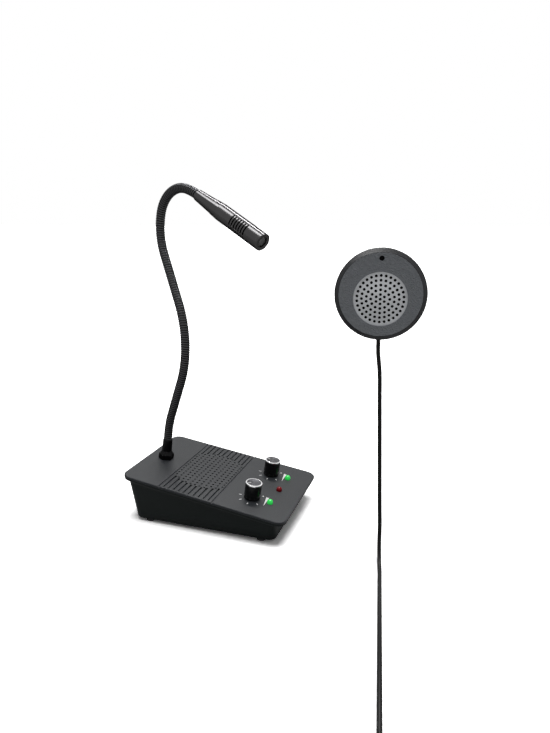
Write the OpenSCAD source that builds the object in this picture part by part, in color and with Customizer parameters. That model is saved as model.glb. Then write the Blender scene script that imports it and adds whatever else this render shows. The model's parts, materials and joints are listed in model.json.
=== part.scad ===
// Teller window intercom: a sloped counter unit with a gooseneck microphone,
// and a round outer speaker unit on its signal cable.
// Millimetres. +Z is up, -Y is the clerk's side, the origin is on the counter
// at the middle of the counter unit's footprint.

/* [Base case] */
// Length of the deck from front to back, measured level
base_len = 165; // [160:1:200]
// Width of the deck
base_wid = 114; // [110:1:150]
// Slope of the deck towards the clerk, in degrees
deck_slope = 8.4; // [7:0.1:10]
// Height of the deck's top surface at its middle
deck_mid_h = 39.2; // [38.2:0.2:56]
// Corner radius of the deck in plan
corner_r = 9.5; // [6:0.5:14]
// Thickness of the top cover
cover_t = 2.2; // [2:0.1:3]
// Bevel along the upper edge of the top cover
cover_bevel = 0.6; // [0.2:0.1:1.2]
// Thickness of the case's flange under the top cover
flange_t = 1.9; // [1.5:0.1:3]
// How far the flange stands out from the wall below it
overhang = 6.7; // [6:0.1:9]
// How far the walls stand further back than the middle of the deck
wall_back = 2.5; // [0:0.5:3]
// How far the flange's side stands back under the top cover's edge
flange_inset = 0.4; // [0:0.1:0.8]
// Height of the hollow curve between the flange and the wall
cove_h = 7; // [4:0.5:9]
// How much further in the wall stands at its foot
wall_lean = 3; // [2:0.5:5]
// Corner radius of the wall
wall_corner_r = 7; // [4:0.5:10]
// Thickness of the case's wall
case_wall = 2.2; // [1.8:0.1:2.6]
// Thickness of the case's floor
floor_t = 2.4; // [2:0.1:3.2]
// Height of the rubber feet under the case
foot_h = 2.5; // [1.5:0.1:5]
// Diameter of the rubber feet
foot_d = 9; // [7:0.5:11]
// Distance of a foot's centre from the foot of the side wall
foot_inset = 5.5; // [5:0.5:8]
// Distance of a foot's centre from the foot of the front or rear wall
foot_end = 14.5; // [13.5:0.5:16]

/* [Speaker grille in the deck] */
// Distance of the grille's centre behind the deck's middle
grille_y = 14.8; // [13:0.2:18]
// Radius of the field of holes
field_r = 37.5; // [33:0.5:38]
// Diameter of one hole
hole_d = 2.2; // [1.6:0.1:2.8]
// Distance between the columns of holes
col_pitch = 5; // [4.8:0.02:6]
// Distance between the rows of holes
row_pitch = 4.93; // [4.6:0.01:6]
// Rows of holes each side of the middle row
side_rows = 5; // [4:1:5]
// Number of slots beside the holes on each side
slot_count = 10; // [6:2:10]
// Distance between the slots
slot_pitch = 5.16; // [4.6:0.01:5.2]
// Width of a slot
slot_w = 1.5; // [1:0.1:2.2]
// Depth of a slot
slot_depth = 1.3; // [0.8:0.1:1.5]
// Distance of the slots from the deck's edge
slot_margin = 2.2; // [1.6:0.1:5]
// Gap between the holes' field and the slots' inner ends
slot_gap = 0.5; // [0.3:0.1:4]
// Diameter of the round hole at each slot's inner end
slot_hole_d = 2.4; // [1.8:0.1:2.6]
// Distance of the two grooves that frame the grille from its centre
groove_at = 27.4; // [26.4:0.2:29]
// Width of the two grooves
groove_w = 1.3; // [0.8:0.1:1.6]
// Depth of the two grooves
groove_depth = 0.8; // [0.5:0.1:1.2]

/* [Base speaker] */
// Distance between the speaker's screws
speaker_screws_w = 57; // [54:0.5:58]
// Distance of those screws from the edges of the square speaker frame
speaker_ear = 4.5; // [4:0.1:5.5]
// Height of the collar that holds the speaker off the deck
collar_h = 5; // [4:0.5:6]
// Depth of the speaker's basket
basket_h = 9; // [7:0.5:10]
// Radius of the speaker's magnet
magnet_r = 16; // [12:0.5:18]
// Height of the speaker's magnet
magnet_h = 7; // [5:0.5:8]

/* [Volume controls and lamps] */
// Distance of each volume knob from the deck's side edge
knob_edge = 29; // [27:0.1:31]
// Distance of the knobs in front of the deck's middle
knob_y = 41.8; // [39:0.1:44]
// Diameter of a knob
knob_d = 15.8; // [14.2:0.1:18]
// Height of a knob
knob_h = 15.8; // [13:0.1:20]
// Radius of the control's metal shaft
shaft_r = 3; // [2:0.1:3.2]
// Width of a volume control's square body
pot_w = 12.4; // [10:0.1:12.6]
// Height of a volume control's body
pot_h = 6.5; // [5:0.1:8]
// Width across the flats of the nut that holds a control
pot_nut_af = 10; // [9:0.1:10.4]
// Thickness of that nut
pot_nut_t = 1.8; // [1.4:0.1:2.4]
// Distance of the lamps in front of the deck's middle
lamp_y = 60; // [58:0.1:61]
// Diameter of a lamp
lamp_d = 5.6; // [3:0.1:6]
// How far a lamp stands out of the deck
lamp_out = 4; // [3:0.1:5]

/* [Rear sockets and switch] */
// Height of the rear sockets above the counter
socket_z = 21; // [18:0.5:24]
// Distance of the outer sockets from the centre line
socket_x = 24; // [20:0.5:28]
// Radius of the power socket's bore
power_bore_r = 2.75; // [2.4:0.05:3]
// Depth of the power socket's bore
power_bore_len = 9; // [7:0.5:10]
// Radius of the outer unit's socket bore
unit_bore_r = 1.8; // [1.3:0.05:2]
// Depth of the outer unit's socket bore
unit_bore_len = 12; // [8:0.5:13]
// Length of the rocker switch's key
rocker_len = 11.8; // [10:0.1:13]
// Width of the rocker switch's key
rocker_w = 7.8; // [6:0.1:9]
// Tilt of the rocker each way from the middle, in degrees
rocker_tilt = 8; // [5:0.5:10]

/* [Gooseneck] */
// Distance of the neck from the deck's rear edge
neck_from_rear = 18.1; // [16:0.1:20]
// Direction of the neck's plane, turned to the clerk's right hand, in degrees
neck_turn = 22.3; // [0:0.1:40]
// Width across the flats of the neck's nut
neck_nut_af = 13.5; // [12:0.1:16]
// Height of the neck's nut with its cone
neck_nut_h = 8.4; // [7:0.1:10]
// Height of the sleeve's top end above the deck
ferrule_top = 22.2; // [18:0.1:30]
// Outer radius of the neck over its ribs
rib_r = 4.35; // [4:0.05:5]
// Outer radius of the neck between its ribs
groove_r = 3.9; // [3.6:0.05:4]
// Distance from rib to rib
rib_pitch = 2.4; // [2.1:0.05:3]
// Radius of the spine inside the neck
spine_r = 2.7; // [2.2:0.05:2.75]
// Radius of the ball at each of the neck's bends
ball_r = 2.1; // [1.8:0.05:2.15]

/* [Microphone] */
// Length of the microphone from the neck to its end
mic_len = 85; // [78:1:110]
// Outer radius of the microphone
mic_r = 7.6; // [7.2:0.1:11]
// Length of the tapered sleeve at its rear
mic_sleeve_len = 23; // [16:0.5:26]
// Wall thickness of the microphone's barrel
mic_wall = 1.3; // [1.1:0.1:1.6]
// Distance of the first row of sound slots from the microphone's end
mic_slots_back = 35; // [32:0.5:38]
// Number of rows of sound slots along the barrel
mic_slots = 7; // [3:1:8]
// Distance between the rows of sound slots
mic_slot_pitch = 2.9; // [2.6:0.1:3.2]
// Width of a sound slot
mic_slot_w = 1.6; // [1:0.1:1.8]
// Radius of the microphone capsule
capsule_r = 4.85; // [4:0.05:5]

/* [Outer unit] */
// Diameter of the outer unit
outer_d = 75; // [74:1:84]
// Depth of the outer unit's case
outer_depth = 20; // [19:0.5:26]
// Width of the bevelled rim round its face
outer_rim = 3.6; // [2.5:0.1:4]
// Thickness of its wall
outer_wall = 2.2; // [1.8:0.1:2.6]
// Radius of the opening for its grille
opening_r = 22; // [20:0.5:23]
// Distance of the opening's centre below the unit's centre
opening_drop = 3.5; // [3:0.1:4.4]
// Height of its domed grille
dome_h = 2.6; // [1.5:0.1:3]
// Diameter of a hole in the domed grille
dome_hole_d = 2.4; // [1.4:0.1:2.5]
// Distance between the rings of holes
dome_pitch = 3.8; // [3.4:0.05:3.9]
// Radius of the small microphone hole in its face
mic_hole_r = 2.1; // [1.2:0.1:2.4]
// Distance of that hole above the unit's centre
mic_hole_up = 29.3; // [28.5:0.1:30]
// Thickness of the adhesive pad on its back
pad_t = 1.2; // [0.8:0.1:3]

/* [Signal cable] */
// Diameter of the cable
cord_d = 3.5; // [3:0.1:3.6]
// Distance of the put-away coil from the counter unit, along the counter
coil_x = 288; // [240:4:400]
// Turns in the put-away coil
coil_turns = 11.25; // [5.25:1:15.25]
// Layers in the coil
coil_layers = 4; // [2:2:4]
// Free space between neighbouring turns
coil_gap = 0.5; // [0.45:0.05:1]
// Inner radius of the coil at its turns' middle line
coil_in_r = 14.5; // [12:0.5:20]
// Radius of the plug's grip
plug_r = 4; // [3.5:0.1:5]
// Length of the plug's grip
plug_len = 22; // [16:0.5:30]

/* [Hidden] */

$fn = 48;
// Free play between fixed pieces, between moving pieces, and round a turning shaft
fit_gap = 0.1;
move_gap = 0.3;
shaft_gap = 0.05;
// A cut runs this far past the face that it opens
over = 1;

// Deck
deck_len = base_len / cos(deck_slope);
wall_foot_x = base_wid / 2 - overhang - wall_lean;
wall_foot_y = base_len / 2 - overhang - wall_lean;
foot_x = wall_foot_x - foot_inset;
foot_y = wall_foot_y - foot_end;
corner_steps = 6;
edge_round = 2;
cove_steps = 5;
lip_t = 1.6;
lip_h = 3;
cavity_inset = overhang + case_wall;
case_top_depth = cover_t + flange_t + cove_h;
floor_z = foot_h + floor_t;

// Screws that join cover and case, and the posts they run in
case_screw_x = wall_foot_x - 7;
case_screw_y = 48.5;
case_screw_r = 1.45;
case_screw_head_r = 2.8;
post_r = 4.2;
post_top = 16;
boss_r = 3.4;
case_screw_seat = foot_h + 2;
case_screw_bite = 8;

// Small screws that hold the boards and the speaker
small_screw_r = 1.2;
small_head_r = 2.4;
small_head_h = 1.6;
small_screw_len = 4;
pad_screw_r = 2.8;

// Main board
board_t = 1.6;
board_x = 76;
board_y = 60;
board_mid_y = 6;
standoff_h = 4;
standoff_r = 3;
board_hole_x = board_x / 2 - 4;
board_hole_y = board_y / 2 - 4;
board_z = floor_z + standoff_h;
can_r = 4;
can_h = 10;
can_pitch = 11;
chip_size = [14, 10, 3.4];
header_size = [10, 5, 4];
header_pitch = 14;

// Base speaker, measured down from the deck's top surface
cloth_t = 0.4;
frame_t = 1.6;
speaker_w = speaker_screws_w + 2 * speaker_ear;
speaker_r = speaker_w / 2 - 3;
speaker_z = -cover_t - collar_h;
basket_z = speaker_z - frame_t - basket_h;

// Volume controls
knob_x = base_wid / 2 - knob_edge;
bush_r = shaft_r + 0.7;
bush_top = pot_nut_t + 0.4;
knob_lift = 0.7;
knob_room = pot_nut_af / 2 / cos(30) + 0.4;
ring_h = 1.3;
ring_w = 1.1;
knob_side_r = knob_d / 2;
shaft_foot = -cover_t - pot_h + 1.2;
shaft_top = knob_lift + knob_h - 3;

// Rear wall: a plane from the foot of the wall up to the end of the cove
rear_top = deck_pt(0, deck_len / 2 - overhang + wall_back, -case_top_depth);
rear_foot_z = foot_h + edge_round;
rear_draft = atan((rear_top.y - wall_foot_y - wall_back) / (rear_top.z - rear_foot_z));
nose_out = 1.6;
nose_r = 4;
unit_nose_r = 3;
socket_body = 9;
rocker_room = norm([rocker_len / 2, 2.6]) + move_gap;
rocker_pin_r = 1.2;
rocker_pin_len = 1.1;
switch_wall = 1.6;
switch_depth = 12;
pivot_out = -1.6;

// Neck: level reach, rise and lean are followed along arcs of [length, bend in degrees]
arcs = [[28, 15.6], [40, 0], [80, -46.2], [48, 0], [38, 38.5], [48, 89.9], [15, 10.9]];
first_arc = [0, 2, 3, 4];
last_arc = [1, 2, 3, 6];
hinge_gap = 1.3;
neck_sides = 8;
stub_r = 3.95;
stub_top_r = 3.4;
stub_down = 10;
lock_nut_af = 11;
lock_nut_t = 4;
ball_neck_r = ball_r - 0.55;
cup_r = ball_r + move_gap;
spine_stop = cup_r;
hose_bore_r = (spine_r + fit_gap) / cos(180 / neck_sides);
neck_hinge_h = ferrule_top + hinge_gap;
neck_y = deck_len / 2 - neck_from_rear;
neck_root = deck_pt(0, neck_y, neck_hinge_h);
spine_in_mic = 6;
spine_thin_r = spine_r - 0.15;
spine_lap = 1;

// Microphone
mic_full_at = mic_sleeve_len + 9;
mic_rear_r = rib_r + 0.8;
mic_seam_r = mic_rear_r + (mic_r - mic_rear_r) * 0.64;
mic_face_t = 2.2;
mic_holder_len = 9;
mic_slot_start = mic_len - mic_slots_back;
mic_bars = [[28, 105], [113, 247], [255, 332]];

// Outer unit: its front rim's centre and the way that it faces
outer_r = outer_d / 2;
outer_at = [-27.8, -154.3, 230.2];
outer_turn = 81.8;
rim_drop = 3.2;
side_end = 10;
back_r = outer_r - 3;
face_r = outer_r - outer_rim - fit_gap;
face_t = 2.2;
ledge_w = 1.6;
grille_flange_t = 0.6;
grille_r = opening_r - 1.6;
dome_rings = 5;
cone_speaker_r = 23.2;
outer_magnet_r = 11;
outer_basket_h = 6.4;
outer_screw_at = 28.8;
outer_screw_angles = [45, 135, 225, 315];
outer_boss_r = 2.6;
outer_screw_r = 1.1;
outer_head_r = 2.1;
outer_head_h = 1.4;
outer_capsule_r = 3;
grommet_z = -(rim_drop + side_end) / 2;
grommet_r = cord_d / 2 + 0.85;
grommet_out = 0.6;

// Cable route: it hangs from the grommet, turns round a quarter ellipse on to the
// counter, and runs along it to the coil
cord_r = cord_d / 2;
cord_sides = 8;
cord_exit = outer_pt(0, -(outer_r + grommet_out), grommet_z);
hang_top = [-24.4, -156, 165];
hang_foot = [-36, -163.8, 26];
hang_steps = 6;
turn_steps = 5;
run_slope = 0.15;
run_y0 = -159.4;
run_from = -60;
run_step = 12;
run_count = floor((coil_x + run_from) / run_step) - 1;
run_dir = [-cos(atan(run_slope)), -sin(atan(run_slope)), 0];
run_side = [run_dir.y, -run_dir.x, 0];
coil_from = [-coil_x, run_y0 - coil_x * run_slope];
climb_steps = 3;

// Coil: turns that spiral in and out again, and climb a layer where the spiral reverses
tie_t = 0.6;
coil_rings = 24;
coil_sides = 6;
coil_step = cord_d + coil_gap;
layer_turns = coil_turns / coil_layers;
coil_out_r = coil_in_r + coil_step * layer_turns;
coil_z = cord_r + tie_t + fit_gap;
coil_mid = coil_from + coil_out_r * [run_side.x, run_side.y];
coil_angle = atan2(-run_side.y, -run_side.x);
coil_top_z = coil_z + coil_step * (coil_layers - 1) + cord_r;
tie_w = 4;

// Tail from the coil to the plug: distance along it and height of its middle line
tail_from = coil_pt(coil_turns);
tail_dir = [cos(coil_angle - 360 * coil_turns - 90), sin(coil_angle - 360 * coil_turns - 90), 0];
tail_run = [[8, 0.98], [16, 0.88], [24, 0.66], [32, 0.4], [40, 0.18], [48, 0.07], [56, 0.1]];
tail_len = 62;
shank_len = 14;
shank_r = 1.75;

// ---------- Places ----------

// A point given in the deck's own frame: x across, y up the slope, z out of the deck
function deck_pt(x, y, z) =
    [x, y * cos(deck_slope) - z * sin(deck_slope),
     deck_mid_h + y * sin(deck_slope) + z * cos(deck_slope)];

module on_deck() {
    translate([0, 0, deck_mid_h]) rotate([deck_slope, 0, 0]) children();
}

// Height of the deck's top surface over a level distance from the middle
function deck_z(y) = deck_mid_h + y * tan(deck_slope);

function rear_y(z) = wall_foot_y + wall_back + (z - rear_foot_z) * tan(rear_draft);

// On the rear wall: +Y points out of the wall, +Z up along it
module on_rear(x, z) {
    translate([x, rear_y(z), z]) rotate([-rear_draft, 0, 0]) children();
}

// In the neck's plane, with -Y along its reach and the origin at its lowest bend
module in_neck_plane() {
    translate(neck_root) rotate([0, 0, -neck_turn]) children();
}

// On the outer unit: x to its right, y up, z out of its face, seen from the front
module on_outer() {
    translate(outer_at) rotate([90, 0, -outer_turn]) children();
}

function outer_pt(x, y, z) =
    outer_at + [x * cos(outer_turn) - z * sin(outer_turn),
                -x * sin(outer_turn) - z * cos(outer_turn), y];

// ---------- Shapes ----------

// Points round a rectangle with round corners, anticlockwise from its right side
function outline(hx, hy, r) = [
    for (c = [0 : 3], k = [0 : corner_steps])
        let (a = 90 * (c + k / corner_steps), sx = c == 0 || c == 3 ? 1 : -1, sy = c < 2 ? 1 : -1)
            [sx * (hx - r) + r * cos(a), sy * (hy - r) + r * sin(a)]];

module round_rect(hx, hy, r) {
    square([2 * hx, 2 * (hy - r)], center = true);
    square([2 * (hx - r), 2 * hy], center = true);
    for (sx = [-1, 1], sy = [-1, 1]) translate([sx * (hx - r), sy * (hy - r)]) circle(r);
}

// Triangles round a stack of rings with n points each, from point number `first` on
function side_faces(rings, n, first = 0) = [
    for (k = [0 : rings - 2], i = [0 : n - 1])
        let (a = first + k * n + i, b = first + k * n + (i + 1) % n)
            each [[a, a + n, b + n], [a, b + n, b]]];

function turned(faces) = [for (f = faces) [for (i = [len(f) - 1 : -1 : 0]) f[i]]];

function joined(rings) = [for (r = rings) each r];

// Closed solid through a stack of rings, each anticlockwise seen from the stack's end
module loft(rings) {
    n = len(rings[0]);
    m = len(rings);
    polyhedron(points = joined(rings), convexity = 8,
               faces = concat(side_faces(m, n), [[for (i = [0 : n - 1]) i]],
                              [[for (i = [n - 1 : -1 : 0]) (m - 1) * n + i]]));
}

// Closed pipe between two stacks of rings that start and end on the same planes
module pipe(outer, inner) {
    n = len(outer[0]);
    m = len(outer);
    q = len(inner);
    base = m * n;
    start_cap = [for (i = [0 : n - 1]) let (j = (i + 1) % n)
        each [[i, j, base + j], [i, base + j, base + i]]];
    a = (m - 1) * n;
    b = base + (q - 1) * n;
    end_cap = [for (i = [0 : n - 1]) let (j = (i + 1) % n)
        each [[a + i, b + j, a + j], [a + i, b + i, b + j]]];
    polyhedron(points = concat(joined(outer), joined(inner)), convexity = 8,
               faces = concat(side_faces(m, n), turned(side_faces(q, n, base)), start_cap, end_cap));
}

function unit(v) = v / norm(v);

// Ring of a swept tube at p, square to t, turned so that a point lies towards `ref`
function tube_ring(p, t, r, sides, ref) =
    let (u = unit(ref - (ref * t) * t), w = cross(t, u))
        [for (i = [0 : sides - 1]) p + r * (cos(360 * i / sides) * u + sin(360 * i / sides) * w)];

// Rings along a path, square to it, with the given directions at its ends
function tube_rings(path, r, sides, ref, t0, t1) =
    let (last = len(path) - 1)
        [for (i = [0 : last])
            let (t = i == 0 ? t0 : i == last ? t1 : unit(path[i + 1] - path[i - 1]))
                tube_ring(path[i], t, r, sides, ref)];

function path_len(p) = len(p) < 2 ? 0 : [for (i = [1 : len(p) - 1]) norm(p[i] - p[i - 1])]
    * [for (i = [1 : len(p) - 1]) 1];

module hex(af, h) {
    cylinder(r = af / 2 / cos(30), h = h, $fn = 6);
}

module tube(r_out, r_in, h) {
    difference() {
        cylinder(r = r_out, h = h);
        translate([0, 0, -over]) cylinder(r = r_in, h = h + 2 * over);
    }
}

// ---------- Base case ----------

module cover_plate() {
    hx = base_wid / 2;
    hy = deck_len / 2;
    rotate([90, 0, 0]) linear_extrude(2 * (hy - corner_r), center = true) cover_edge(hx);
    rotate([90, 0, 90]) linear_extrude(2 * (hx - corner_r), center = true) cover_edge(hy);
    for (sx = [-1, 1], sy = [-1, 1])
        translate([sx * (hx - corner_r), sy * (hy - corner_r), 0])
            rotate_extrude() intersection() {
                cover_edge(corner_r);
                translate([0, -2 * cover_t]) square([2 * corner_r, 4 * cover_t]);
            }
}

// Section of the cover with half width h: square below, bevelled above
module cover_edge(h) {
    polygon([[-h, -cover_t], [h, -cover_t], [h, -cover_bevel], [h - cover_bevel, 0],
             [cover_bevel - h, 0], [-h, -cover_bevel]]);
}

// The holes of the grille: columns and rows on a square grid inside a circle
module grille_holes() {
    for (row = [-side_rows : side_rows]) {
        reach = floor(sqrt(pow(field_r, 2) - pow(row * row_pitch, 2)) / col_pitch);
        for (col = [-reach : reach]) translate([col * col_pitch, row * row_pitch]) circle(hole_d / 2);
    }
}

// Place across the deck of a slot, and half the chord of the circle that the slots end on
function slot_y(i) = (i - (slot_count - 1) / 2) * slot_pitch;
function slot_inner(y) = sqrt(pow(field_r + slot_gap, 2) - y * y);

module slot_holes() {
    for (i = [0 : slot_count - 1], side = [-1, 1])
        translate([side * slot_inner(slot_y(i)), slot_y(i)]) circle(slot_hole_d / 2);
}

module deck_slots() {
    for (i = [0 : slot_count - 1], side = [-1, 1]) {
        y = slot_y(i);
        x0 = slot_inner(y);
        x1 = base_wid / 2 - slot_margin;
        translate([side * (x0 + x1) / 2, y, 0]) cube([x1 - x0, slot_w, 2 * slot_depth], center = true);
    }
    for (side = [-1, 1])
        translate([0, side * groove_at, 0])
            cube([base_wid + 2 * over, groove_w, 2 * groove_depth], center = true);
}

module at_grille() {
    translate([0, grille_y, 0]) children();
}

module at_speaker_screws() {
    for (sx = [-1, 1], sy = [-1, 1])
        translate([sx * speaker_screws_w / 2, sy * speaker_screws_w / 2, 0]) children();
}

module at_case_screws() {
    for (sx = [-1, 1], sy = [-1, 1])
        translate([sx * case_screw_x, wall_back + sy * case_screw_y, 0]) children();
}

module at_knob(side) {
    on_deck() translate([side * knob_x, -knob_y, 0]) children();
}

module top_cover() color([0.27, 0.28, 0.29]) {
    difference() {
        union() {
            on_deck() {
                cover_plate();
                cover_lip();
                at_grille() speaker_collar();
            }
            cover_bosses();
        }
        on_deck() {
            at_grille() {
                translate([0, 0, -cover_t - over]) linear_extrude(cover_t + 2 * over) {
                    grille_holes();
                    slot_holes();
                }
                deck_slots();
                at_speaker_screws() translate([0, 0, speaker_z - over])
                    cylinder(r = small_screw_r + fit_gap / 2, h = small_screw_len + over);
            }
            translate([0, neck_y, -cover_t - over]) cylinder(r = stub_r + fit_gap, h = cover_t + 2 * over);
            for (side = [-1, 1]) translate([side * knob_x, -knob_y, -cover_t - over])
                cylinder(r = bush_r + fit_gap, h = cover_t + 2 * over);
            for (side = [-1, 0, 1]) translate([side * knob_x, -lamp_y, -cover_t - over])
                cylinder(r = lamp_d / 2 + fit_gap, h = cover_t + 2 * over);
        }
        at_case_screws() translate([0, 0, post_top])
            cylinder(r = case_screw_r + fit_gap / 2, h = case_screw_bite + over);
    }
}

// Lip that keeps the cover in place inside the case, cut away round the neck's nut
module cover_lip() {
    hx = base_wid / 2 - cavity_inset - fit_gap - 0.15;
    hy = deck_len / 2 - cavity_inset - fit_gap - 0.15;
    difference() {
        translate([0, wall_back, -cover_t - lip_h]) linear_extrude(lip_h + cover_t / 2) difference() {
            round_rect(hx, hy, wall_corner_r);
            round_rect(hx - lip_t, hy - lip_t, wall_corner_r - lip_t);
        }
        translate([0, neck_y, -cover_t - 2 * lip_h])
            cylinder(r = lock_nut_af / 2 / cos(30) + 1, h = 2 * lip_h);
    }
}

module speaker_collar() {
    h = collar_h + cover_t / 2;
    translate([0, 0, speaker_z]) {
        tube(speaker_r + 2, speaker_r + 0.5, h);
        at_speaker_screws() cylinder(r = pad_screw_r, h = h);
    }
}

module cover_bosses() {
    at_case_screws() translate([0, 0, post_top + fit_gap])
        cylinder(r = boss_r, h = 1);
    for (sx = [-1, 1], sy = [-1, 1]) {
        y = wall_back + sy * case_screw_y;
        translate([sx * case_screw_x, y, post_top + fit_gap])
            cylinder(r = boss_r, h = deck_z(y) - cover_t / 2 - post_top - fit_gap);
    }
}

function deck_ring(inset, depth) = [
    for (p = outline(base_wid / 2 - inset, deck_len / 2 - inset,
                     corner_r - (corner_r - wall_corner_r) * min(inset, overhang) / overhang))
        deck_pt(p.x, p.y + wall_back * min(inset, overhang) / overhang, -depth)];

function level_ring(inset, z) = [
    for (p = outline(wall_foot_x - inset, wall_foot_y - inset, wall_corner_r - inset / 2))
        [p.x, p.y + wall_back, z]];

module case_outside() {
    loft(concat(
        [level_ring(edge_round, foot_h), level_ring(edge_round * 0.3, foot_h + edge_round * 0.3),
         level_ring(0, foot_h + edge_round)],
        [for (k = [cove_steps : -1 : 0]) let (a = 90 * k / cove_steps)
            deck_ring(flange_inset + (overhang - flange_inset) * sin(a),
                      cover_t + flange_t + cove_h * (1 - cos(a)))],
        [deck_ring(flange_inset, cover_t)]));
}

module case_inside() {
    loft([level_ring(case_wall, floor_z), deck_ring(cavity_inset, case_top_depth),
          deck_ring(cavity_inset, cover_t - over)]);
}

module bottom_case() color([0.1, 0.115, 0.11]) {
    difference() {
        union() {
            difference() {
                case_outside();
                case_inside();
            }
            at_case_screws() translate([0, 0, foot_h]) cylinder(r = post_r, h = post_top - foot_h);
            at_board_holes() translate([0, 0, floor_z - 1]) cylinder(r = standoff_r, h = standoff_h + 1);
        }
        at_case_screws() {
            translate([0, 0, foot_h - over]) cylinder(r = case_screw_r + 0.2, h = post_top);
            translate([0, 0, foot_h - over])
                cylinder(r = case_screw_head_r + 0.3, h = case_screw_seat - foot_h + over);
        }
        at_board_holes() translate([0, 0, board_z - small_screw_len + board_t])
            cylinder(r = small_screw_r + fit_gap / 2, h = small_screw_len);
        at_feet() translate([0, 0, foot_h - over])
            cylinder(r = foot_stem_r() + fit_gap, h = floor_t + 2 * over);
        on_rear(0, socket_z) {
            translate([0, -2 * case_wall, 0]) round_cut(nose_r + fit_gap, 4 * case_wall);
            translate([socket_x, -2 * case_wall, 0]) round_cut(unit_nose_r + fit_gap, 4 * case_wall);
            translate([-socket_x, 0, 0])
                cube([switch_body_x() + 2 * fit_gap, 4 * case_wall, switch_body_z() + 2 * fit_gap],
                     center = true);
        }
    }
}

module round_cut(r, h) {
    rotate([-90, 0, 0]) cylinder(r = r, h = h);
}

function foot_stem_r() = foot_d * 0.22;

module at_feet() {
    for (sx = [-1, 1], sy = [-1, 1]) translate([sx * foot_x, wall_back + sy * foot_y, 0]) children();
}

module rubber_feet() color([0.06, 0.06, 0.06]) {
    at_feet() {
        rotate_extrude() polygon([[0, 0], [foot_d / 2 - 0.5, 0], [foot_d / 2, 0.5],
                                  [foot_d / 2, foot_h], [0, foot_h]]);
        cylinder(r = foot_stem_r(), h = foot_h + floor_t);
    }
}

module pan_screw(r, head_r, head_h, length) {
    cylinder(r = r, h = length + head_h);
    cylinder(r = head_r, h = head_h);
}

module case_screws() color([0.55, 0.55, 0.57]) {
    at_case_screws() translate([0, 0, case_screw_seat - 1.8])
        pan_screw(case_screw_r, case_screw_head_r, 1.8, post_top + case_screw_bite - case_screw_seat - 0.5);
}

// ---------- Boards inside the base ----------

module at_board_holes() {
    for (sx = [-1, 1], sy = [-1, 1])
        translate([sx * board_hole_x, board_mid_y + sy * board_hole_y, 0]) children();
}

module main_board() color([0.1, 0.35, 0.2]) {
    difference() {
        translate([0, board_mid_y, board_z + board_t / 2]) cube([board_x, board_y, board_t], center = true);
        at_board_holes() translate([0, 0, board_z - over])
            cylinder(r = small_screw_r + 0.2, h = board_t + 2 * over);
    }
}

// Amplifier chip, storage capacitors and plug connectors, on the board's front half
module board_parts() color([0.15, 0.15, 0.2]) {
    translate([0, board_mid_y - board_y / 2, board_z + board_t]) {
        for (i = [0 : 2]) translate([-24 + can_pitch * i, 9, 0]) cylinder(r = can_r, h = can_h);
        translate([2 * can_r, can_r, 0]) cube(chip_size);
        for (i = [0 : 2]) translate([-26 + header_pitch * i, 9 + 2 * can_r, 0]) cube(header_size);
    }
}

module inner_screws() color([0.7, 0.7, 0.72]) {
    at_board_holes() translate([0, 0, board_z + board_t + small_head_h]) mirror([0, 0, 1])
        pan_screw(small_screw_r, small_head_r, small_head_h, small_screw_len - 0.3);
    on_deck() at_grille() at_speaker_screws() translate([0, 0, speaker_z - frame_t - small_head_h])
        pan_screw(small_screw_r, small_head_r, small_head_h, small_screw_len + frame_t - 0.3);
}

// ---------- Base speaker ----------

module speaker_frame() color([0.5, 0.5, 0.52]) on_deck() at_grille() {
    difference() {
        union() {
            translate([0, 0, speaker_z - frame_t])
                linear_extrude(frame_t) round_rect(speaker_w / 2, speaker_w / 2, 6);
            rotate_extrude() polygon(basket_section(1.2, speaker_r, magnet_r * 0.8));
        }
        rotate_extrude() polygon(basket_hollow(1.2, speaker_r, magnet_r * 0.8));
        at_speaker_screws() translate([0, 0, speaker_z - frame_t - over])
            cylinder(r = small_screw_r + 0.2, h = frame_t + 2 * over);
    }
}

// Outside of the basket, from the flange down to the magnet's plate
function basket_section(t, r0, r1) =
    [[0, speaker_z - frame_t], [r0, speaker_z - frame_t], [r1 + t, basket_z], [0, basket_z]];

function basket_hollow(t, r0, r1) =
    [[0, speaker_z + over], [r0 - t, speaker_z + over], [r0 - t, speaker_z - frame_t],
     [r1, basket_z + t], [0, basket_z + t]];

module speaker_magnet() color([0.3, 0.3, 0.31]) on_deck() at_grille() {
    translate([0, 0, basket_z - magnet_h]) cylinder(r = magnet_r, h = magnet_h);
}

// Cone with its dust cap, hung from the flange by its edge roll
module speaker_cone() color([0.12, 0.12, 0.12]) on_deck() at_grille() {
    rim = speaker_r - 1.2 - fit_gap;
    coil = magnet_r * 0.45;
    deep = basket_z + 2.4;
    rotate_extrude() polygon([
        [0, deep + 2], [coil, deep + 0.6], [rim - 6, speaker_z - 1.2], [rim - 4, speaker_z - 0.3],
        [rim - 2, speaker_z - 0.3], [rim - 1, speaker_z - 1], [rim, speaker_z - 1],
        [rim, speaker_z - 1.5], [rim - 1.3, speaker_z - 1.5], [rim - 2.3, speaker_z - 0.8],
        [rim - 3.7, speaker_z - 0.8], [rim - 5.7, speaker_z - 1.7], [coil, deep], [0, deep + 1.4]]);
}

module speaker_cloth() color([0.05, 0.05, 0.05]) on_deck() at_grille() {
    translate([0, 0, -cover_t - cloth_t]) cylinder(r = speaker_r, h = cloth_t);
}

// ---------- Volume controls and lamps ----------

module control_board() color([0.1, 0.35, 0.2]) on_deck() {
    w = 2 * knob_x + pot_w + fit_gap * 4;
    d = lamp_y - knob_y + pot_w / 2 + 8;
    translate([-w / 2, -lamp_y - 6, -cover_t - pot_h - board_t]) cube([w, d, board_t]);
}

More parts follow.
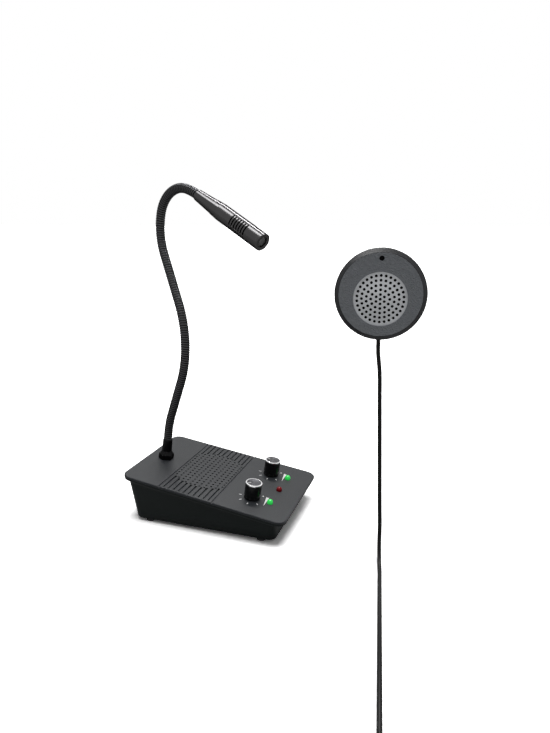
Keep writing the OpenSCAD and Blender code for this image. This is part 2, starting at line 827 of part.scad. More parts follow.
module volume_pots() color([0.35, 0.36, 0.38]) {
    for (side = [-1, 1]) at_knob(side) difference() {
        union() {
            translate([-pot_w / 2, -pot_w / 2, -cover_t - pot_h]) cube([pot_w, pot_w, pot_h]);
            translate([0, 0, -cover_t]) cylinder(r = bush_r, h = cover_t + bush_top);
        }
        translate([0, 0, shaft_foot - move_gap])
            cylinder(r = shaft_r + shaft_gap, h = bush_top - shaft_foot + move_gap + over);
    }
}

module pot_nuts() color([0.75, 0.75, 0.77]) {
    for (side = [-1, 1]) at_knob(side) difference() {
        hex(pot_nut_af, pot_nut_t);
        translate([0, 0, -over]) cylinder(r = bush_r + fit_gap / 2, h = pot_nut_t + 2 * over);
    }
}

module control_shaft(side) at_knob(side) {
    translate([0, 0, shaft_foot]) cylinder(r = shaft_r, h = shaft_top - shaft_foot);
}

module left_shaft() color([0.8, 0.8, 0.82]) control_shaft(-1);
module right_shaft() color([0.8, 0.8, 0.82]) control_shaft(1);

// Knob with a hollow for the nut, a bore for the shaft, a seat for the bright ring
// and a raised pointer, which stands at `turn` degrees from straight back
module knob(side, turn) at_knob(side) rotate([0, 0, turn]) {
    top = knob_lift + knob_h;
    difference() {
        translate([0, 0, knob_lift]) {
            rotate_extrude() polygon([
                [0, 0], [knob_side_r - 0.3, 0], [knob_side_r, 0.4],
                [knob_side_r, knob_h - ring_h], [knob_side_r - ring_w - shaft_gap, knob_h - ring_h],
                [knob_side_r - ring_w - shaft_gap, knob_h - 0.4], [0, knob_h - 0.4]]);
        }
        translate([0, 0, knob_lift - over]) cylinder(r = knob_room, h = bush_top + over);
        cylinder(r = shaft_r + shaft_gap / 2, h = shaft_top);
    }
    translate([-0.5, knob_side_r - ring_w - 3.6, top - 0.6]) cube([1, 3.4, 0.5]);
}

module left_knob() color([0.05, 0.05, 0.055]) knob(-1, 45);
module right_knob() color([0.05, 0.05, 0.055]) knob(1, 0);

module knob_ring(side) at_knob(side) translate([0, 0, knob_lift + knob_h - ring_h]) {
    rotate_extrude() polygon([
        [knob_side_r - ring_w, 0], [knob_side_r, 0], [knob_side_r, ring_h - 0.35],
        [knob_side_r - 0.35, ring_h], [knob_side_r - ring_w, ring_h]]);
}

module left_knob_ring() color([0.9, 0.9, 0.92]) knob_ring(-1);
module right_knob_ring() color([0.9, 0.9, 0.92]) knob_ring(1);

// Lamp with its foot rim, dome and two legs down to the control board
module lamp(x) on_deck() translate([x, -lamp_y, 0]) {
    r = lamp_d / 2;
    foot = -cover_t - 3;
    translate([0, 0, foot]) cylinder(r = r, h = lamp_out - r - foot);
    translate([0, 0, foot]) cylinder(r = r + 0.4, h = 1);
    translate([0, 0, lamp_out - r]) intersection() {
        sphere(r);
        translate([0, 0, r / 2]) cube([3 * r, 3 * r, r + 0.01], center = true);
    }
    for (s = [-1, 1]) translate([s * 1.27 - 0.25, -0.25, -cover_t - pot_h])
        cube([0.5, 0.5, pot_h - 3]);
}

module green_lamps() color([0.1, 0.8, 0.25]) {
    lamp(-knob_x);
    lamp(knob_x);
}

module red_lamp() color([0.45, 0.03, 0.04]) lamp(0);

// ---------- Rear sockets and switch ----------

module power_socket() color([0.08, 0.08, 0.08]) on_rear(0, socket_z) {
    back = -case_wall - power_bore_len;
    difference() {
        union() {
            translate([0, 0, 0]) round_cut(nose_r + 1.5, nose_out);
            translate([0, -case_wall - 1, 0]) round_cut(nose_r, case_wall + 1.5);
            translate([0, (back - 2 - case_wall - 0.4) / 2, 0])
                cube([socket_body, -(back - 2) - case_wall - 0.4, socket_body], center = true);
        }
        translate([0, nose_out - power_bore_len, 0]) round_cut(power_bore_r, power_bore_len + over);
    }
    translate([0, nose_out - power_bore_len - 0.5, 0]) round_cut(1, power_bore_len - 0.7);
}

module unit_socket() color([0.1, 0.1, 0.1]) on_rear(socket_x, socket_z) {
    body_len = unit_bore_len + 1.6 - nose_out - case_wall;
    difference() {
        union() {
            round_cut(unit_nose_r + 1.1, nose_out);
            translate([0, -case_wall - 1, 0]) round_cut(unit_nose_r, case_wall + 1.5);
            translate([0, -case_wall - 0.4 - body_len / 2, 0])
                cube([socket_body - 1, body_len, socket_body - 1], center = true);
        }
        translate([0, nose_out - unit_bore_len, 0]) round_cut(unit_bore_r, unit_bore_len + over);
    }
}

function switch_body_x() = rocker_w + 2 * (move_gap + switch_wall);
function switch_body_z() = 2 * (rocker_room + switch_wall);

module switch_frame() color([0.07, 0.07, 0.07]) on_rear(-socket_x, socket_z) {
    difference() {
        union() {
            translate([0, nose_out / 2, 0])
                cube([switch_body_x() + 2.4, nose_out, switch_body_z() + 2.4], center = true);
            translate([0, (0.5 - switch_depth) / 2, 0])
                cube([switch_body_x(), switch_depth + 0.5, switch_body_z()], center = true);
        }
        translate([0, (nose_out + over + 2 - switch_depth) / 2, 0])
            cube([rocker_w + 2 * move_gap, switch_depth - 2 + nose_out + over, 2 * rocker_room],
                 center = true);
        translate([0, pivot_out, 0]) rotate([0, 90, 0])
            cylinder(r = rocker_pin_r + shaft_gap,
                     h = rocker_w + 2 * (move_gap + rocker_pin_len), center = true);
    }
}

// Key of the switch, stored with its upper half pressed in
module switch_rocker() color([0.05, 0.05, 0.05]) on_rear(-socket_x, socket_z) {
    h = rocker_len / 2;
    translate([0, pivot_out, 0]) rotate([rocker_tilt, 0, 0]) {
        rotate([90, 0, 90]) linear_extrude(rocker_w, center = true)
            polygon([[-3.4, -2.2], [-3.4, 2.2], [-0.5, h], [3.9, h], [3.1, 0], [3.9, -h], [-0.5, -h]]);
        rotate([0, 90, 0]) cylinder(r = rocker_pin_r, h = rocker_w + 2 * rocker_pin_len, center = true);
    }
}

// ---------- Gooseneck ----------

module at_neck_foot() {
    on_deck() translate([0, neck_y, 0]) children();
}

module neck_nut() color([0.04, 0.045, 0.045]) at_neck_foot() {
    cone_h = neck_nut_h - 5.2;
    r_top = rib_r + 0.95;
    difference() {
        union() {
            hex(neck_nut_af, 5.2);
            translate([0, 0, 5.2]) cylinder(r1 = neck_nut_af / 2, r2 = r_top, h = cone_h);
        }
        translate([0, 0, -over]) cylinder(r = stub_r + fit_gap / 2, h = neck_nut_h + 2 * over);
    }
}

module neck_ferrule() color([0.05, 0.05, 0.055]) at_neck_foot() {
    difference() {
        rotate_extrude() polygon([
            [0, neck_nut_h], [rib_r + 0.8, neck_nut_h], [rib_r + 0.4, ferrule_top - 1.4],
            [groove_r, ferrule_top], [0, ferrule_top]]);
        translate([0, 0, neck_nut_h - over])
            cylinder(r = stub_top_r + fit_gap / 2, h = ferrule_top);
    }
}

// Threaded stub through the deck, with the ball that the lowest bend turns on
module neck_stub() color([0.6, 0.6, 0.62]) at_neck_foot() {
    shoulder = neck_nut_h - fit_gap;
    translate([0, 0, -cover_t - stub_down]) cylinder(r = stub_r, h = cover_t + stub_down + shoulder);
    cylinder(r = stub_top_r, h = neck_hinge_h - spine_stop);
    cylinder(r = ball_neck_r, h = neck_hinge_h);
    translate([0, 0, neck_hinge_h]) sphere(ball_r);
}

module neck_lock_nut() color([0.7, 0.7, 0.7]) at_neck_foot() {
    translate([0, 0, -cover_t - lock_nut_t]) difference() {
        hex(lock_nut_af, lock_nut_t);
        translate([0, 0, -over]) cylinder(r = stub_r + fit_gap / 2, h = lock_nut_t + 2 * over);
    }
}

// Reach, rise and lean after one more arc of length l and bend b, from pose p
function after_arc(p, l, b) =
    b == 0 ? [p[0] + l * sin(p[2]), p[1] + l * cos(p[2]), p[2]]
           : let (r = l / (b * PI / 180))
               [p[0] + r * (cos(p[2]) - cos(p[2] + b)), p[1] + r * (sin(p[2] + b) - sin(p[2])),
                p[2] + b];

// Pose at the start of arc k
function arc_pose(k) =
    k == 0 ? [0, 0, deck_slope] : after_arc(arc_pose(k - 1), arcs[k - 1][0], arcs[k - 1][1]);

// Pose at distance l past the start of arc k
function pose_at(l, k = 0) =
    l > arcs[k][0] && k < len(arcs) - 1 ? pose_at(l - arcs[k][0], k + 1)
    : after_arc(arc_pose(k), l, arcs[k][1] * l / arcs[k][0]);

function span_start(k) = k == 0 ? 0 : span_start(k - 1) + span_len(k - 1);

function span_len(k) = [for (i = [first_arc[k] : last_arc[k]]) arcs[i][0]]
    * [for (i = [first_arc[k] : last_arc[k]]) 1];

module at_pose(p) {
    translate([0, -p[0], p[1]]) rotate([p[2], 0, 0]) children();
}

// Ring of the neck at distance l along it
function neck_ring(l, r) =
    let (p = pose_at(l), n = [0, cos(p[2]), sin(p[2])])
        [for (i = [0 : neck_sides - 1]) let (a = 360 * (i + 0.5) / neck_sides)
            [0, -p[0], p[1]] + r * (cos(a) * [1, 0, 0] + sin(a) * n)];

// Ribbed hose of one span: a crest and a groove for each rib, over a plain bore
module neck_hose(k) {
    l0 = span_start(k) + hinge_gap;
    l1 = span_start(k) + span_len(k) - (k < len(first_arc) - 1 ? hinge_gap : 0);
    ribs = 2 * round((l1 - l0) / rib_pitch / 2);
    step = (l1 - l0) / ribs;
    outer = [for (i = [0 : 2 * ribs]) neck_ring(l0 + i * step / 2, i % 2 == 0 ? groove_r : rib_r)];
    inner = [for (i = [0 : ribs / 2]) neck_ring(l0 + 2 * i * step, hose_bore_r)];
    color([0.07, 0.07, 0.075]) in_neck_plane() pipe(outer, inner);
}

// Round bar along one arc, starting at the origin along +Z and leaning to -Y, and
// reaching `before` and `after` further than the arc does
module bent_bar(l, b, r, before = 0, after = 0) {
    if (b == 0) translate([0, 0, -before]) cylinder(r = r, h = before + l + after);
    else mirror([0, b > 0 ? 0 : 1, 0]) {
        per_mm = abs(b) / l;
        bend_r = 180 / PI / per_mm;
        translate([0, -bend_r, 0]) rotate([90, 0, 90]) rotate([0, 0, -before * per_mm])
            rotate_extrude(angle = (before + l + after) * per_mm) translate([bend_r, 0]) circle(r);
    }
}

// Inner spine of one span: a cup at its start, and a ball at the next bend. Every second
// stretch is thinner and runs into its neighbours
module neck_spine(k) {
    last = k == len(first_arc) - 1;
    color([0.35, 0.35, 0.36]) in_neck_plane() {
        difference() {
            for (i = [first_arc[k] : last_arc[k]]) {
                whole = arcs[i][0];
                ends = i == last_arc[k];
                thin = (i - first_arc[k]) % 2 == 1;
                l = ends && !last ? whole - spine_stop : whole;
                at_pose(arc_pose(i))
                    bent_bar(l, arcs[i][1] * l / whole, thin ? spine_thin_r : spine_r,
                             thin ? spine_lap : 0, thin && !ends ? spine_lap : 0);
            }
            at_pose(arc_pose(first_arc[k])) sphere(cup_r);
        }
        if (last) at_pose(arc_pose(len(arcs))) translate([0, 0, -spine_lap])
            cylinder(r = spine_thin_r, h = spine_in_mic + spine_lap);
        else at_pose(arc_pose(last_arc[k] + 1)) {
            translate([0, 0, -spine_stop - 1]) cylinder(r = ball_neck_r, h = spine_stop + 1);
            sphere(ball_r);
        }
    }
}

module neck_hose_1() neck_hose(0);
module neck_hose_2() neck_hose(1);
module neck_hose_3() neck_hose(2);
module neck_hose_4() neck_hose(3);
module neck_spine_1() neck_spine(0);
module neck_spine_2() neck_spine(1);
module neck_spine_3() neck_spine(2);
module neck_spine_4() neck_spine(3);

// ---------- Microphone ----------

module on_mic() {
    in_neck_plane() at_pose(arc_pose(len(arcs))) children();
}

module mic_sleeve() color([0.2, 0.2, 0.21]) on_mic() {
    rotate_extrude() polygon([
        [spine_thin_r + fit_gap / 2, 0], [mic_rear_r - 0.3, 0], [mic_rear_r, 0.5],
        [mic_seam_r, mic_sleeve_len], [mic_seam_r - 2, mic_sleeve_len],
        [spine_r + 0.6, spine_in_mic + 3], [spine_thin_r + fit_gap / 2, spine_in_mic + 1]]);
}

// Barrel with its rear seat and the sound slots, in three arcs that leave three bars
module mic_barrel() color([0.19, 0.19, 0.2]) on_mic() {
    face = mic_len - mic_face_t;
    difference() {
        rotate_extrude() polygon([
            [mic_seam_r - 1.6, mic_sleeve_len], [mic_seam_r + 0.15, mic_sleeve_len],
            [mic_r, mic_full_at], [mic_r, face], [mic_r - mic_wall, face],
            [mic_r - mic_wall, mic_full_at], [mic_seam_r - 1.6, mic_sleeve_len + 3]]);
        for (i = [0 : mic_slots - 1], bar = mic_bars)
            translate([0, 0, mic_slot_start + i * mic_slot_pitch]) rotate([0, 0, bar[0] + 90])
                rotate_extrude(angle = bar[1] - bar[0]) translate([mic_r - mic_wall - 1, 0])
                    square([mic_wall + 2, mic_slot_w]);
    }
}

// End ring with the tube behind it that holds the screen and the capsule
module mic_end_ring() color([0.16, 0.16, 0.17]) on_mic() {
    face = mic_len - mic_face_t;
    rotate_extrude() polygon([
        [capsule_r + fit_gap, face - mic_holder_len], [mic_r - mic_wall - fit_gap, face - mic_holder_len],
        [mic_r - mic_wall - fit_gap, face], [mic_r, face], [mic_r, mic_len - 0.5],
        [mic_r - 0.5, mic_len], [capsule_r, mic_len], [capsule_r - 0.3, mic_len - 0.3],
        [capsule_r - 0.3, face], [capsule_r + fit_gap, face]]);
}

module mic_screen() color([0.35, 0.35, 0.36]) on_mic() {
    translate([0, 0, mic_len - mic_face_t - 0.6]) cylinder(r = capsule_r, h = 0.6);
}

module mic_capsule() color([0.75, 0.75, 0.76]) on_mic() {
    h = mic_holder_len - 2.6;
    translate([0, 0, mic_len - mic_face_t - 0.8 - h]) cylinder(r = capsule_r, h = h);
}

// ---------- Outer unit ----------

module at_opening() {
    translate([0, -opening_drop, 0]) children();
}

module at_outer_screws() {
    for (a = outer_screw_angles) rotate([0, 0, a]) translate([outer_screw_at, 0, 0]) children();
}

module outer_case() color([0.14, 0.14, 0.15]) on_outer() {
    seat = face_r + fit_gap;
    difference() {
        rotate_extrude() polygon([
            [0, -outer_depth], [back_r, -outer_depth], [outer_r, -side_end], [outer_r, -rim_drop],
            [seat, 0], [seat, -face_t], [seat - ledge_w, -face_t],
            [seat - ledge_w, -rim_drop - outer_wall],
            [back_r - outer_wall, outer_wall - outer_depth], [0, outer_wall - outer_depth]]);
        at_outer_screws() translate([0, 0, -outer_depth - over]) {
            cylinder(r = outer_screw_r + 0.2, h = outer_wall + 2 * over);
            cylinder(r = outer_head_r + 0.2, h = outer_head_h + over);
        }
        translate([0, 0, grommet_z]) rotate([90, 0, 0])
            translate([0, 0, outer_r / 2]) cylinder(r = grommet_r + fit_gap, h = outer_r);
    }
}

// Face plate with the grille's opening, the screw bosses and the microphone's holder
module outer_cover() color([0.36, 0.37, 0.39]) on_outer() {
    boss_end = outer_wall - outer_depth + fit_gap;
    difference() {
        union() {
            translate([0, 0, -face_t]) cylinder(r = face_r, h = face_t);
            at_outer_screws() translate([0, 0, boss_end]) cylinder(r = outer_boss_r, h = -boss_end - 1);
            translate([0, mic_hole_up, -face_t - 3.4])
                intersection() {
                    cylinder(r = outer_capsule_r + 1, h = 4);
                    translate([0, -mic_hole_up, 0]) cylinder(r = face_r - ledge_w - fit_gap, h = 5);
                }
        }
        at_opening() translate([0, 0, -face_t - over]) cylinder(r = opening_r, h = face_t + 2 * over);
        translate([0, mic_hole_up, -face_t - 5]) {
            cylinder(r = mic_hole_r, h = 9);
            cylinder(r = outer_capsule_r + fit_gap / 2, h = 5);
        }
        at_outer_screws() translate([0, 0, boss_end - over])
            cylinder(r = outer_screw_r + fit_gap / 2, h = 7);
    }
}

// Domed sheet with a flat flange behind the face, pierced in rings
module outer_grille() color([0.62, 0.63, 0.65]) on_outer() at_opening() {
    z0 = -face_t - grille_flange_t;
    ball = (pow(grille_r, 2) + pow(dome_h, 2)) / (2 * dome_h);
    difference() {
        union() {
            translate([0, 0, z0]) tube(opening_r + 0.8, grille_r - 1.2, grille_flange_t);
            translate([0, 0, z0]) intersection() {
                translate([0, 0, dome_h - ball]) difference() {
                    sphere(ball, $fn = 128);
                    sphere(ball - grille_flange_t, $fn = 128);
                }
                cylinder(r = grille_r, h = 2 * dome_h);
            }
        }
        for (ring = [0 : dome_rings], i = [0 : max(0, 6 * ring - 1)])
            rotate([0, 0, 90 + (ring == 0 ? 0 : 60 * i / ring)]) translate([ring * dome_pitch, 0, z0 - over])
                cylinder(r = dome_hole_d / 2, h = dome_h + 2 * over);
    }
}

module outer_cloth() color([0.05, 0.05, 0.05]) on_outer() at_opening() {
    translate([0, 0, -face_t - grille_flange_t - cloth_t]) cylinder(r = cone_speaker_r, h = cloth_t);
}

module outer_speaker_frame() color([0.5, 0.5, 0.52]) on_outer() at_opening() {
    z0 = -face_t - grille_flange_t - cloth_t;
    difference() {
        rotate_extrude() polygon([
            [0, z0], [cone_speaker_r, z0], [cone_speaker_r, z0 - 1], [cone_speaker_r - 2, z0 - 1],
            [outer_magnet_r + 1, z0 - outer_basket_h], [0, z0 - outer_basket_h]]);
        rotate_extrude() polygon([
            [0, z0 + over], [cone_speaker_r - 1.6, z0 + over], [cone_speaker_r - 2.8, z0 - 1],
            [outer_magnet_r - 0.2, z0 - outer_basket_h + 1], [0, z0 - outer_basket_h + 1]]);
    }
}

module outer_speaker_magnet() color([0.3, 0.3, 0.31]) on_outer() at_opening() {
    z0 = -face_t - grille_flange_t - cloth_t - outer_basket_h;
    translate([0, 0, z0 - 4.2]) cylinder(r = outer_magnet_r, h = 4.2);
}

module outer_speaker_cone() color([0.12, 0.12, 0.12]) on_outer() at_opening() {
    z0 = -face_t - grille_flange_t - cloth_t;
    rim = cone_speaker_r - 3;
    rotate_extrude() polygon([
        [0, z0 - 2.6], [5, z0 - 3.8], [rim - 2, z0 - 1], [rim, z0 - 0.5],
        [rim, z0 - 0.9], [rim - 2, z0 - 1.5], [5, z0 - 4.4], [0, z0 - 3.2]]);
}

module outer_capsule() color([0.7, 0.7, 0.72]) on_outer() {
    translate([0, mic_hole_up, -face_t - 3.2]) {
        cylinder(r = outer_capsule_r, h = 3);
        cylinder(r = mic_hole_r * 0.45, h = 4.4);
    }
}

module outer_screws() color([0.6, 0.6, 0.62]) on_outer() {
    at_outer_screws() translate([0, 0, -outer_depth])
        pan_screw(outer_screw_r, outer_head_r, outer_head_h, outer_wall - outer_head_h + 5);
}

module adhesive_pad() color([0.09, 0.09, 0.09]) on_outer() {
    translate([0, 0, -outer_depth - pad_t]) cylinder(r = back_r - 1.5, h = pad_t);
}

// Rubber grommet through the wall at the bottom, where the cable comes out
module cable_grommet() color([0.06, 0.06, 0.06]) on_outer() {
    translate([0, 0, grommet_z]) rotate([90, 0, 0]) difference() {
        union() {
            translate([0, 0, outer_r - outer_wall - 3]) cylinder(r = grommet_r, h = outer_wall + 3.2);
            translate([0, 0, outer_r]) cylinder(r1 = grommet_r, r2 = grommet_r - 0.3, h = grommet_out);
        }
        translate([0, 0, outer_r - outer_wall - 3 - over])
            cylinder(r = cord_r - 0.4, h = outer_wall + 3 + 2 * over);
    }
}

// ---------- Signal cable ----------

function run_pt(x, z) = [x, run_y0 + x * run_slope, z];

// Height of the run's middle line: on the counter, and up on to the coil's tie at its end
function run_z(i) = cord_r + (coil_z - cord_r) * max(0, (i - run_count + climb_steps) / climb_steps);

cable_path = concat(
    [cord_exit, cord_exit - [0, 0, 2 * cord_d]],
    [for (k = [0 : hang_steps]) hang_top + (hang_foot - hang_top) * k / hang_steps],
    [for (k = [1 : turn_steps])
        let (a = 90 * k / turn_steps, end = run_pt(run_from, cord_r), gap = end - hang_foot)
            hang_foot + [gap.x * (1 - cos(a)), gap.y * (1 - cos(a)), gap.z * sin(a)]],
    [for (i = [1 : run_count]) run_pt(run_from - run_step * i, run_z(i))],
    [[coil_from.x, coil_from.y, coil_z] - cord_d * run_dir]);

// Point of the coil's middle line after t turns
function coil_pt(t) =
    let (r = coil_in_r + coil_step * abs(t % (2 * layer_turns) - layer_turns),
         a = coil_angle - 360 * t,
         up = [for (j = [1 : 1 : coil_layers - 1]) min(max((t - j * layer_turns) * 2 + 0.5, 0), 1)]
              * [for (j = [1 : 1 : coil_layers - 1]) 1])
        [coil_mid.x + r * cos(a), coil_mid.y + r * sin(a), coil_z + coil_step * up];

coil_count = round(coil_turns * coil_rings);
coil_loop = [for (i = [0 : coil_count]) coil_pt(i * coil_turns / coil_count)];
coil_path = concat([coil_loop[0] - cord_d * run_dir], coil_loop,
                   [coil_loop[coil_count] + cord_d * tail_dir]);

// Least free gap between turns, between points more than a third of a turn apart
coil_least = min([for (i = [0 : coil_count], j = [i + 8 : 1 : coil_count])
    norm(coil_loop[i] - coil_loop[j])]) - cord_d;
echo(least_gap_in_coil_mm = coil_least);

tail_path = concat(
    [tail_from + cord_d * tail_dir],
    [for (p = tail_run) [tail_from.x, tail_from.y, 0] + p[0] * tail_dir
        + [0, 0, cord_r + (tail_from.z - cord_r) * p[1]]],
    [[tail_from.x, tail_from.y, plug_r] + tail_len * tail_dir]);

echo(cable_length_mm = path_len(cable_path) + path_len(coil_path) + path_len(tail_path));

module outer_cable() color([0.05, 0.05, 0.05]) {
    loft(tube_rings(cable_path, cord_r, cord_sides, run_side, [0, 0, -1], run_dir));
}

module cable_coil() color([0.05, 0.05, 0.05]) {
    loft(tube_rings(coil_path, cord_r, coil_sides, [0, 0, 1], run_dir, tail_dir));
}

module cable_tail() color([0.05, 0.05, 0.05]) {
    loft(tube_rings(tail_path, cord_r, cord_sides, [0, 0, 1], tail_dir, tail_dir));
}

// Tie: a flat band round all the turns, on the side away from the cable's start
module cable_tie() color([0.12, 0.12, 0.12]) {
    in_x = coil_in_r - cord_r - fit_gap;
    out_x = coil_out_r + cord_r + fit_gap;
    top = coil_top_z + fit_gap;
    translate([coil_mid.x, coil_mid.y, 0]) rotate([90, 0, coil_angle + 180])
        linear_extrude(tie_w, center = true) difference() {
            translate([in_x - tie_t, 0]) square([out_x - in_x + 2 * tie_t, top + tie_t]);
            translate([in_x, tie_t]) square([out_x - in_x, top - tie_t]);
        }
}

module on_plug() {
    translate([tail_from.x, tail_from.y, plug_r] + tail_len * tail_dir)
        rotate([0, 90, atan2(tail_dir.y, tail_dir.x)]) children();
}

module plug_grip() color([0.06, 0.06, 0.06]) on_plug() {
    rotate_extrude() polygon([
        [0, 0], [cord_r + 0.5, 0], [cord_r + 0.9, plug_len * 0.3], [plug_r - 0.4, plug_len * 0.36],
        [plug_r, plug_len * 0.42], [plug_r, plug_len - 0.8], [plug_r - 0.8, plug_len], [0, plug_len]]);
}

module plug_shank() color([0.85, 0.8, 0.62]) on_plug() {
    rotate_extrude() polygon([
        [0, plug_len], [2.6, plug_len], [2.6, plug_len + 0.8], [shank_r, plug_len + 0.8],
        [shank_r, plug_len + shank_len - 3], [shank_r - 0.5, plug_len + shank_len - 2.2],
        [shank_r, plug_len + shank_len - 1.4], [0.6, plug_len + shank_len], [0, plug_len + shank_len]]);
}

top_cover();
bottom_case();
rubber_feet();
case_screws();
main_board();
board_parts();
inner_screws();
speaker_frame();
speaker_magnet();
speaker_cone();
speaker_cloth();
control_board();
volume_pots();
pot_nuts();
left_shaft();
right_shaft();
left_knob();
right_knob();
left_knob_ring();
right_knob_ring();
green_lamps();
red_lamp();
power_socket();
unit_socket();
switch_frame();
switch_rocker();
neck_nut();
neck_ferrule();
neck_stub();
neck_lock_nut();
neck_hose_1();
neck_hose_2();
neck_hose_3();
neck_hose_4();
neck_spine_1();
neck_spine_2();
neck_spine_3();
neck_spine_4();
mic_sleeve();
mic_barrel();
mic_end_ring();
mic_screen();
mic_capsule();
outer_case();
outer_cover();
outer_grille();
outer_cloth();
outer_speaker_frame();
outer_speaker_magnet();
outer_speaker_cone();
outer_capsule();
outer_screws();
adhesive_pad();
cable_grommet();
outer_cable();
cable_coil();
cable_tail();
cable_tie();
plug_grip();
plug_shank();
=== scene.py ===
"""Dresses the teller window intercom: finishes, printed marks, gooseneck skin and signal cable.

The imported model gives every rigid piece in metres, with +Z up and the origin on the counter under
the middle of the counter unit. The clerk sits at -Y. This script gives each piece its finish, puts
fuller surfaces in place of the plain neck and cable solids, and sets up the picture.
"""

from __future__ import annotations

import json
import logging
import math
from dataclasses import dataclass, field, replace
from enum import Enum

import bpy
import numpy as np
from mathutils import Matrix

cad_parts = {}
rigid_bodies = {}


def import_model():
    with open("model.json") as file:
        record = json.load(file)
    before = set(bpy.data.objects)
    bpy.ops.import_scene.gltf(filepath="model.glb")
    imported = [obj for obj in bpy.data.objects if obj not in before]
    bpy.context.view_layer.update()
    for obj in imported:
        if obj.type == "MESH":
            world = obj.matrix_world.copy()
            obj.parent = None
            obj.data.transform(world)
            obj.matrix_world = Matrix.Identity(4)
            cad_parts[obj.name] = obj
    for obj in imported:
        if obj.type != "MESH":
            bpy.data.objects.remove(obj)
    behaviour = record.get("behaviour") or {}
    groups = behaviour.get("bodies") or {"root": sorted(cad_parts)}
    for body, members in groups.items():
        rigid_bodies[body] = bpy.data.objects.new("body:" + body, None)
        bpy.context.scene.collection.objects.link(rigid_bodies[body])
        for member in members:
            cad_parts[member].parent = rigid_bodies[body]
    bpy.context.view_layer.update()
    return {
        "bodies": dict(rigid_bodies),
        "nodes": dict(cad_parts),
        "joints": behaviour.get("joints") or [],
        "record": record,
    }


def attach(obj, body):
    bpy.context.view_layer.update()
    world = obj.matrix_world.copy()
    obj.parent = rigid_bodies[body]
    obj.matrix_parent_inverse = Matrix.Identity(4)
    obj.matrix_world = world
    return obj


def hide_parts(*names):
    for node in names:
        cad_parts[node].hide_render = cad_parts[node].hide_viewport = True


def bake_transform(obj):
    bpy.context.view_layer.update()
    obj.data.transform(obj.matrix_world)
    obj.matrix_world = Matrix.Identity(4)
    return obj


LOG = logging.getLogger("intercom")
MM = 0.001
UP = np.array([0.0, 0.0, 1.0])
# The neck skin's attribute that tells its ribs from its grooves; it is used to paint shade into the
# grooves.
SWELL = "swell"
# A turned profile stays this far off its axis, so that no two of its points coincide.
OFF_AXIS = 1e-7
# Light and dark bands that a wave texture makes in one unit of its scale, roughly.
BANDS_PER_UNIT = 6
# A rough direction ahead for the lamps, none of which faces this way.
LAMP_AHEAD = (0, 1, 0.01)

Array = np.ndarray
Triple = tuple[float, float, float]
Vector = Array | Triple
Piece = bpy.types.Object
Socket = bpy.types.NodeSocket


# --- places and directions


def unit(v: Array) -> Array:
    """Returns vectors along the last axis, each brought to length 1."""
    return v / np.linalg.norm(v, axis=-1, keepdims=True)


def turn_about(v: Array, axis: Array, degrees: float) -> Array:
    """Turns vectors about an axis through the origin, by Rodrigues' formula.

    Args:
        v: Vectors, with x, y and z on the last axis.
        axis: Unit vector to turn about.
        degrees: Angle, positive by the right-hand rule.

    Returns:
        The turned vectors.
    """
    a = math.radians(degrees)
    along = (v @ axis)[..., None] * axis
    return v * math.cos(a) + np.cross(axis, v) * math.sin(a) + along * (1 - math.cos(a))


def round_steps(count: int) -> Array:
    """Returns angles in even steps round a circle, in radians."""
    return np.linspace(0, 2 * math.pi, count, endpoint=False)


def row_with(rows: list[dict], key: str, value: str) -> dict:
    """Returns the first of the frame's rows whose key has that value."""
    return next(row for row in rows if row[key] == value)


@dataclass(frozen=True)
class Place:
    """A spot on the object with its own directions: across, ahead and out."""

    origin: Array
    across: Array
    ahead: Array
    out: Array

    @staticmethod
    def facing(origin: Vector, out: Vector, ahead: Vector) -> Place:
        """Makes a place from the way it faces and a rough direction ahead.

        Args:
            origin: The spot, in metres.
            out: Direction out of the surface.
            ahead: Direction that is squared up against `out`.

        Returns:
            The place, with a right-handed set of unit directions.
        """
        w = unit(np.asarray(out, float))
        v = np.asarray(ahead, float)
        v = unit(v - (v @ w) * w)
        return Place(np.asarray(origin, float), np.cross(v, w), v, w)

    def at(self, local: Array) -> Array:
        """Returns points given in the place's own directions, as points of the row frame."""
        axes = np.stack([self.across, self.ahead, self.out])
        return self.origin + np.asarray(local, float) @ axes

    def turned(self, degrees: float) -> Place:
        """Returns the same spot, turned about its out direction."""
        across, ahead = (turn_about(v, self.out, degrees) for v in (self.across, self.ahead))
        return replace(self, across=across, ahead=ahead)

    def moved(self, local: Triple) -> Place:
        """Returns the place shifted by metres along its own directions."""
        return replace(self, origin=self.at(local))

    def euler(self) -> Triple:
        """Returns the turn of the place's axes as XYZ Euler angles, by the usual arctangents."""
        m = np.stack([self.across, self.ahead, self.out], axis=1)
        pitch = math.asin(-max(-1.0, min(1.0, m[2, 0])))
        return (math.atan2(m[2, 1], m[2, 2]), pitch, math.atan2(m[1, 0], m[0, 0]))


# --- meshes


def placed(name: str, data: bpy.types.ID) -> Piece:
    """Makes an object of its data, at the origin, and links it to the scene."""
    made = bpy.data.objects.new(name, data)
    bpy.context.scene.collection.objects.link(made)
    return made


def new_piece(name: str, points: Array, faces: list[Array], smooth: bool) -> Piece:
    """Makes an object from points and faces.

    Args:
        name: The piece's name.
        points: Vertices, one row each, in metres.
        faces: Each face's vertex numbers.
        smooth: Whether the faces are shaded as one curved surface.

    Returns:
        The new object.
    """
    mesh = bpy.data.meshes.new(name)
    mesh.from_pydata(points, [], faces)
    mesh.polygons.foreach_set("use_smooth", np.full(len(faces), smooth))
    mesh.validate()
    return placed(name, mesh)


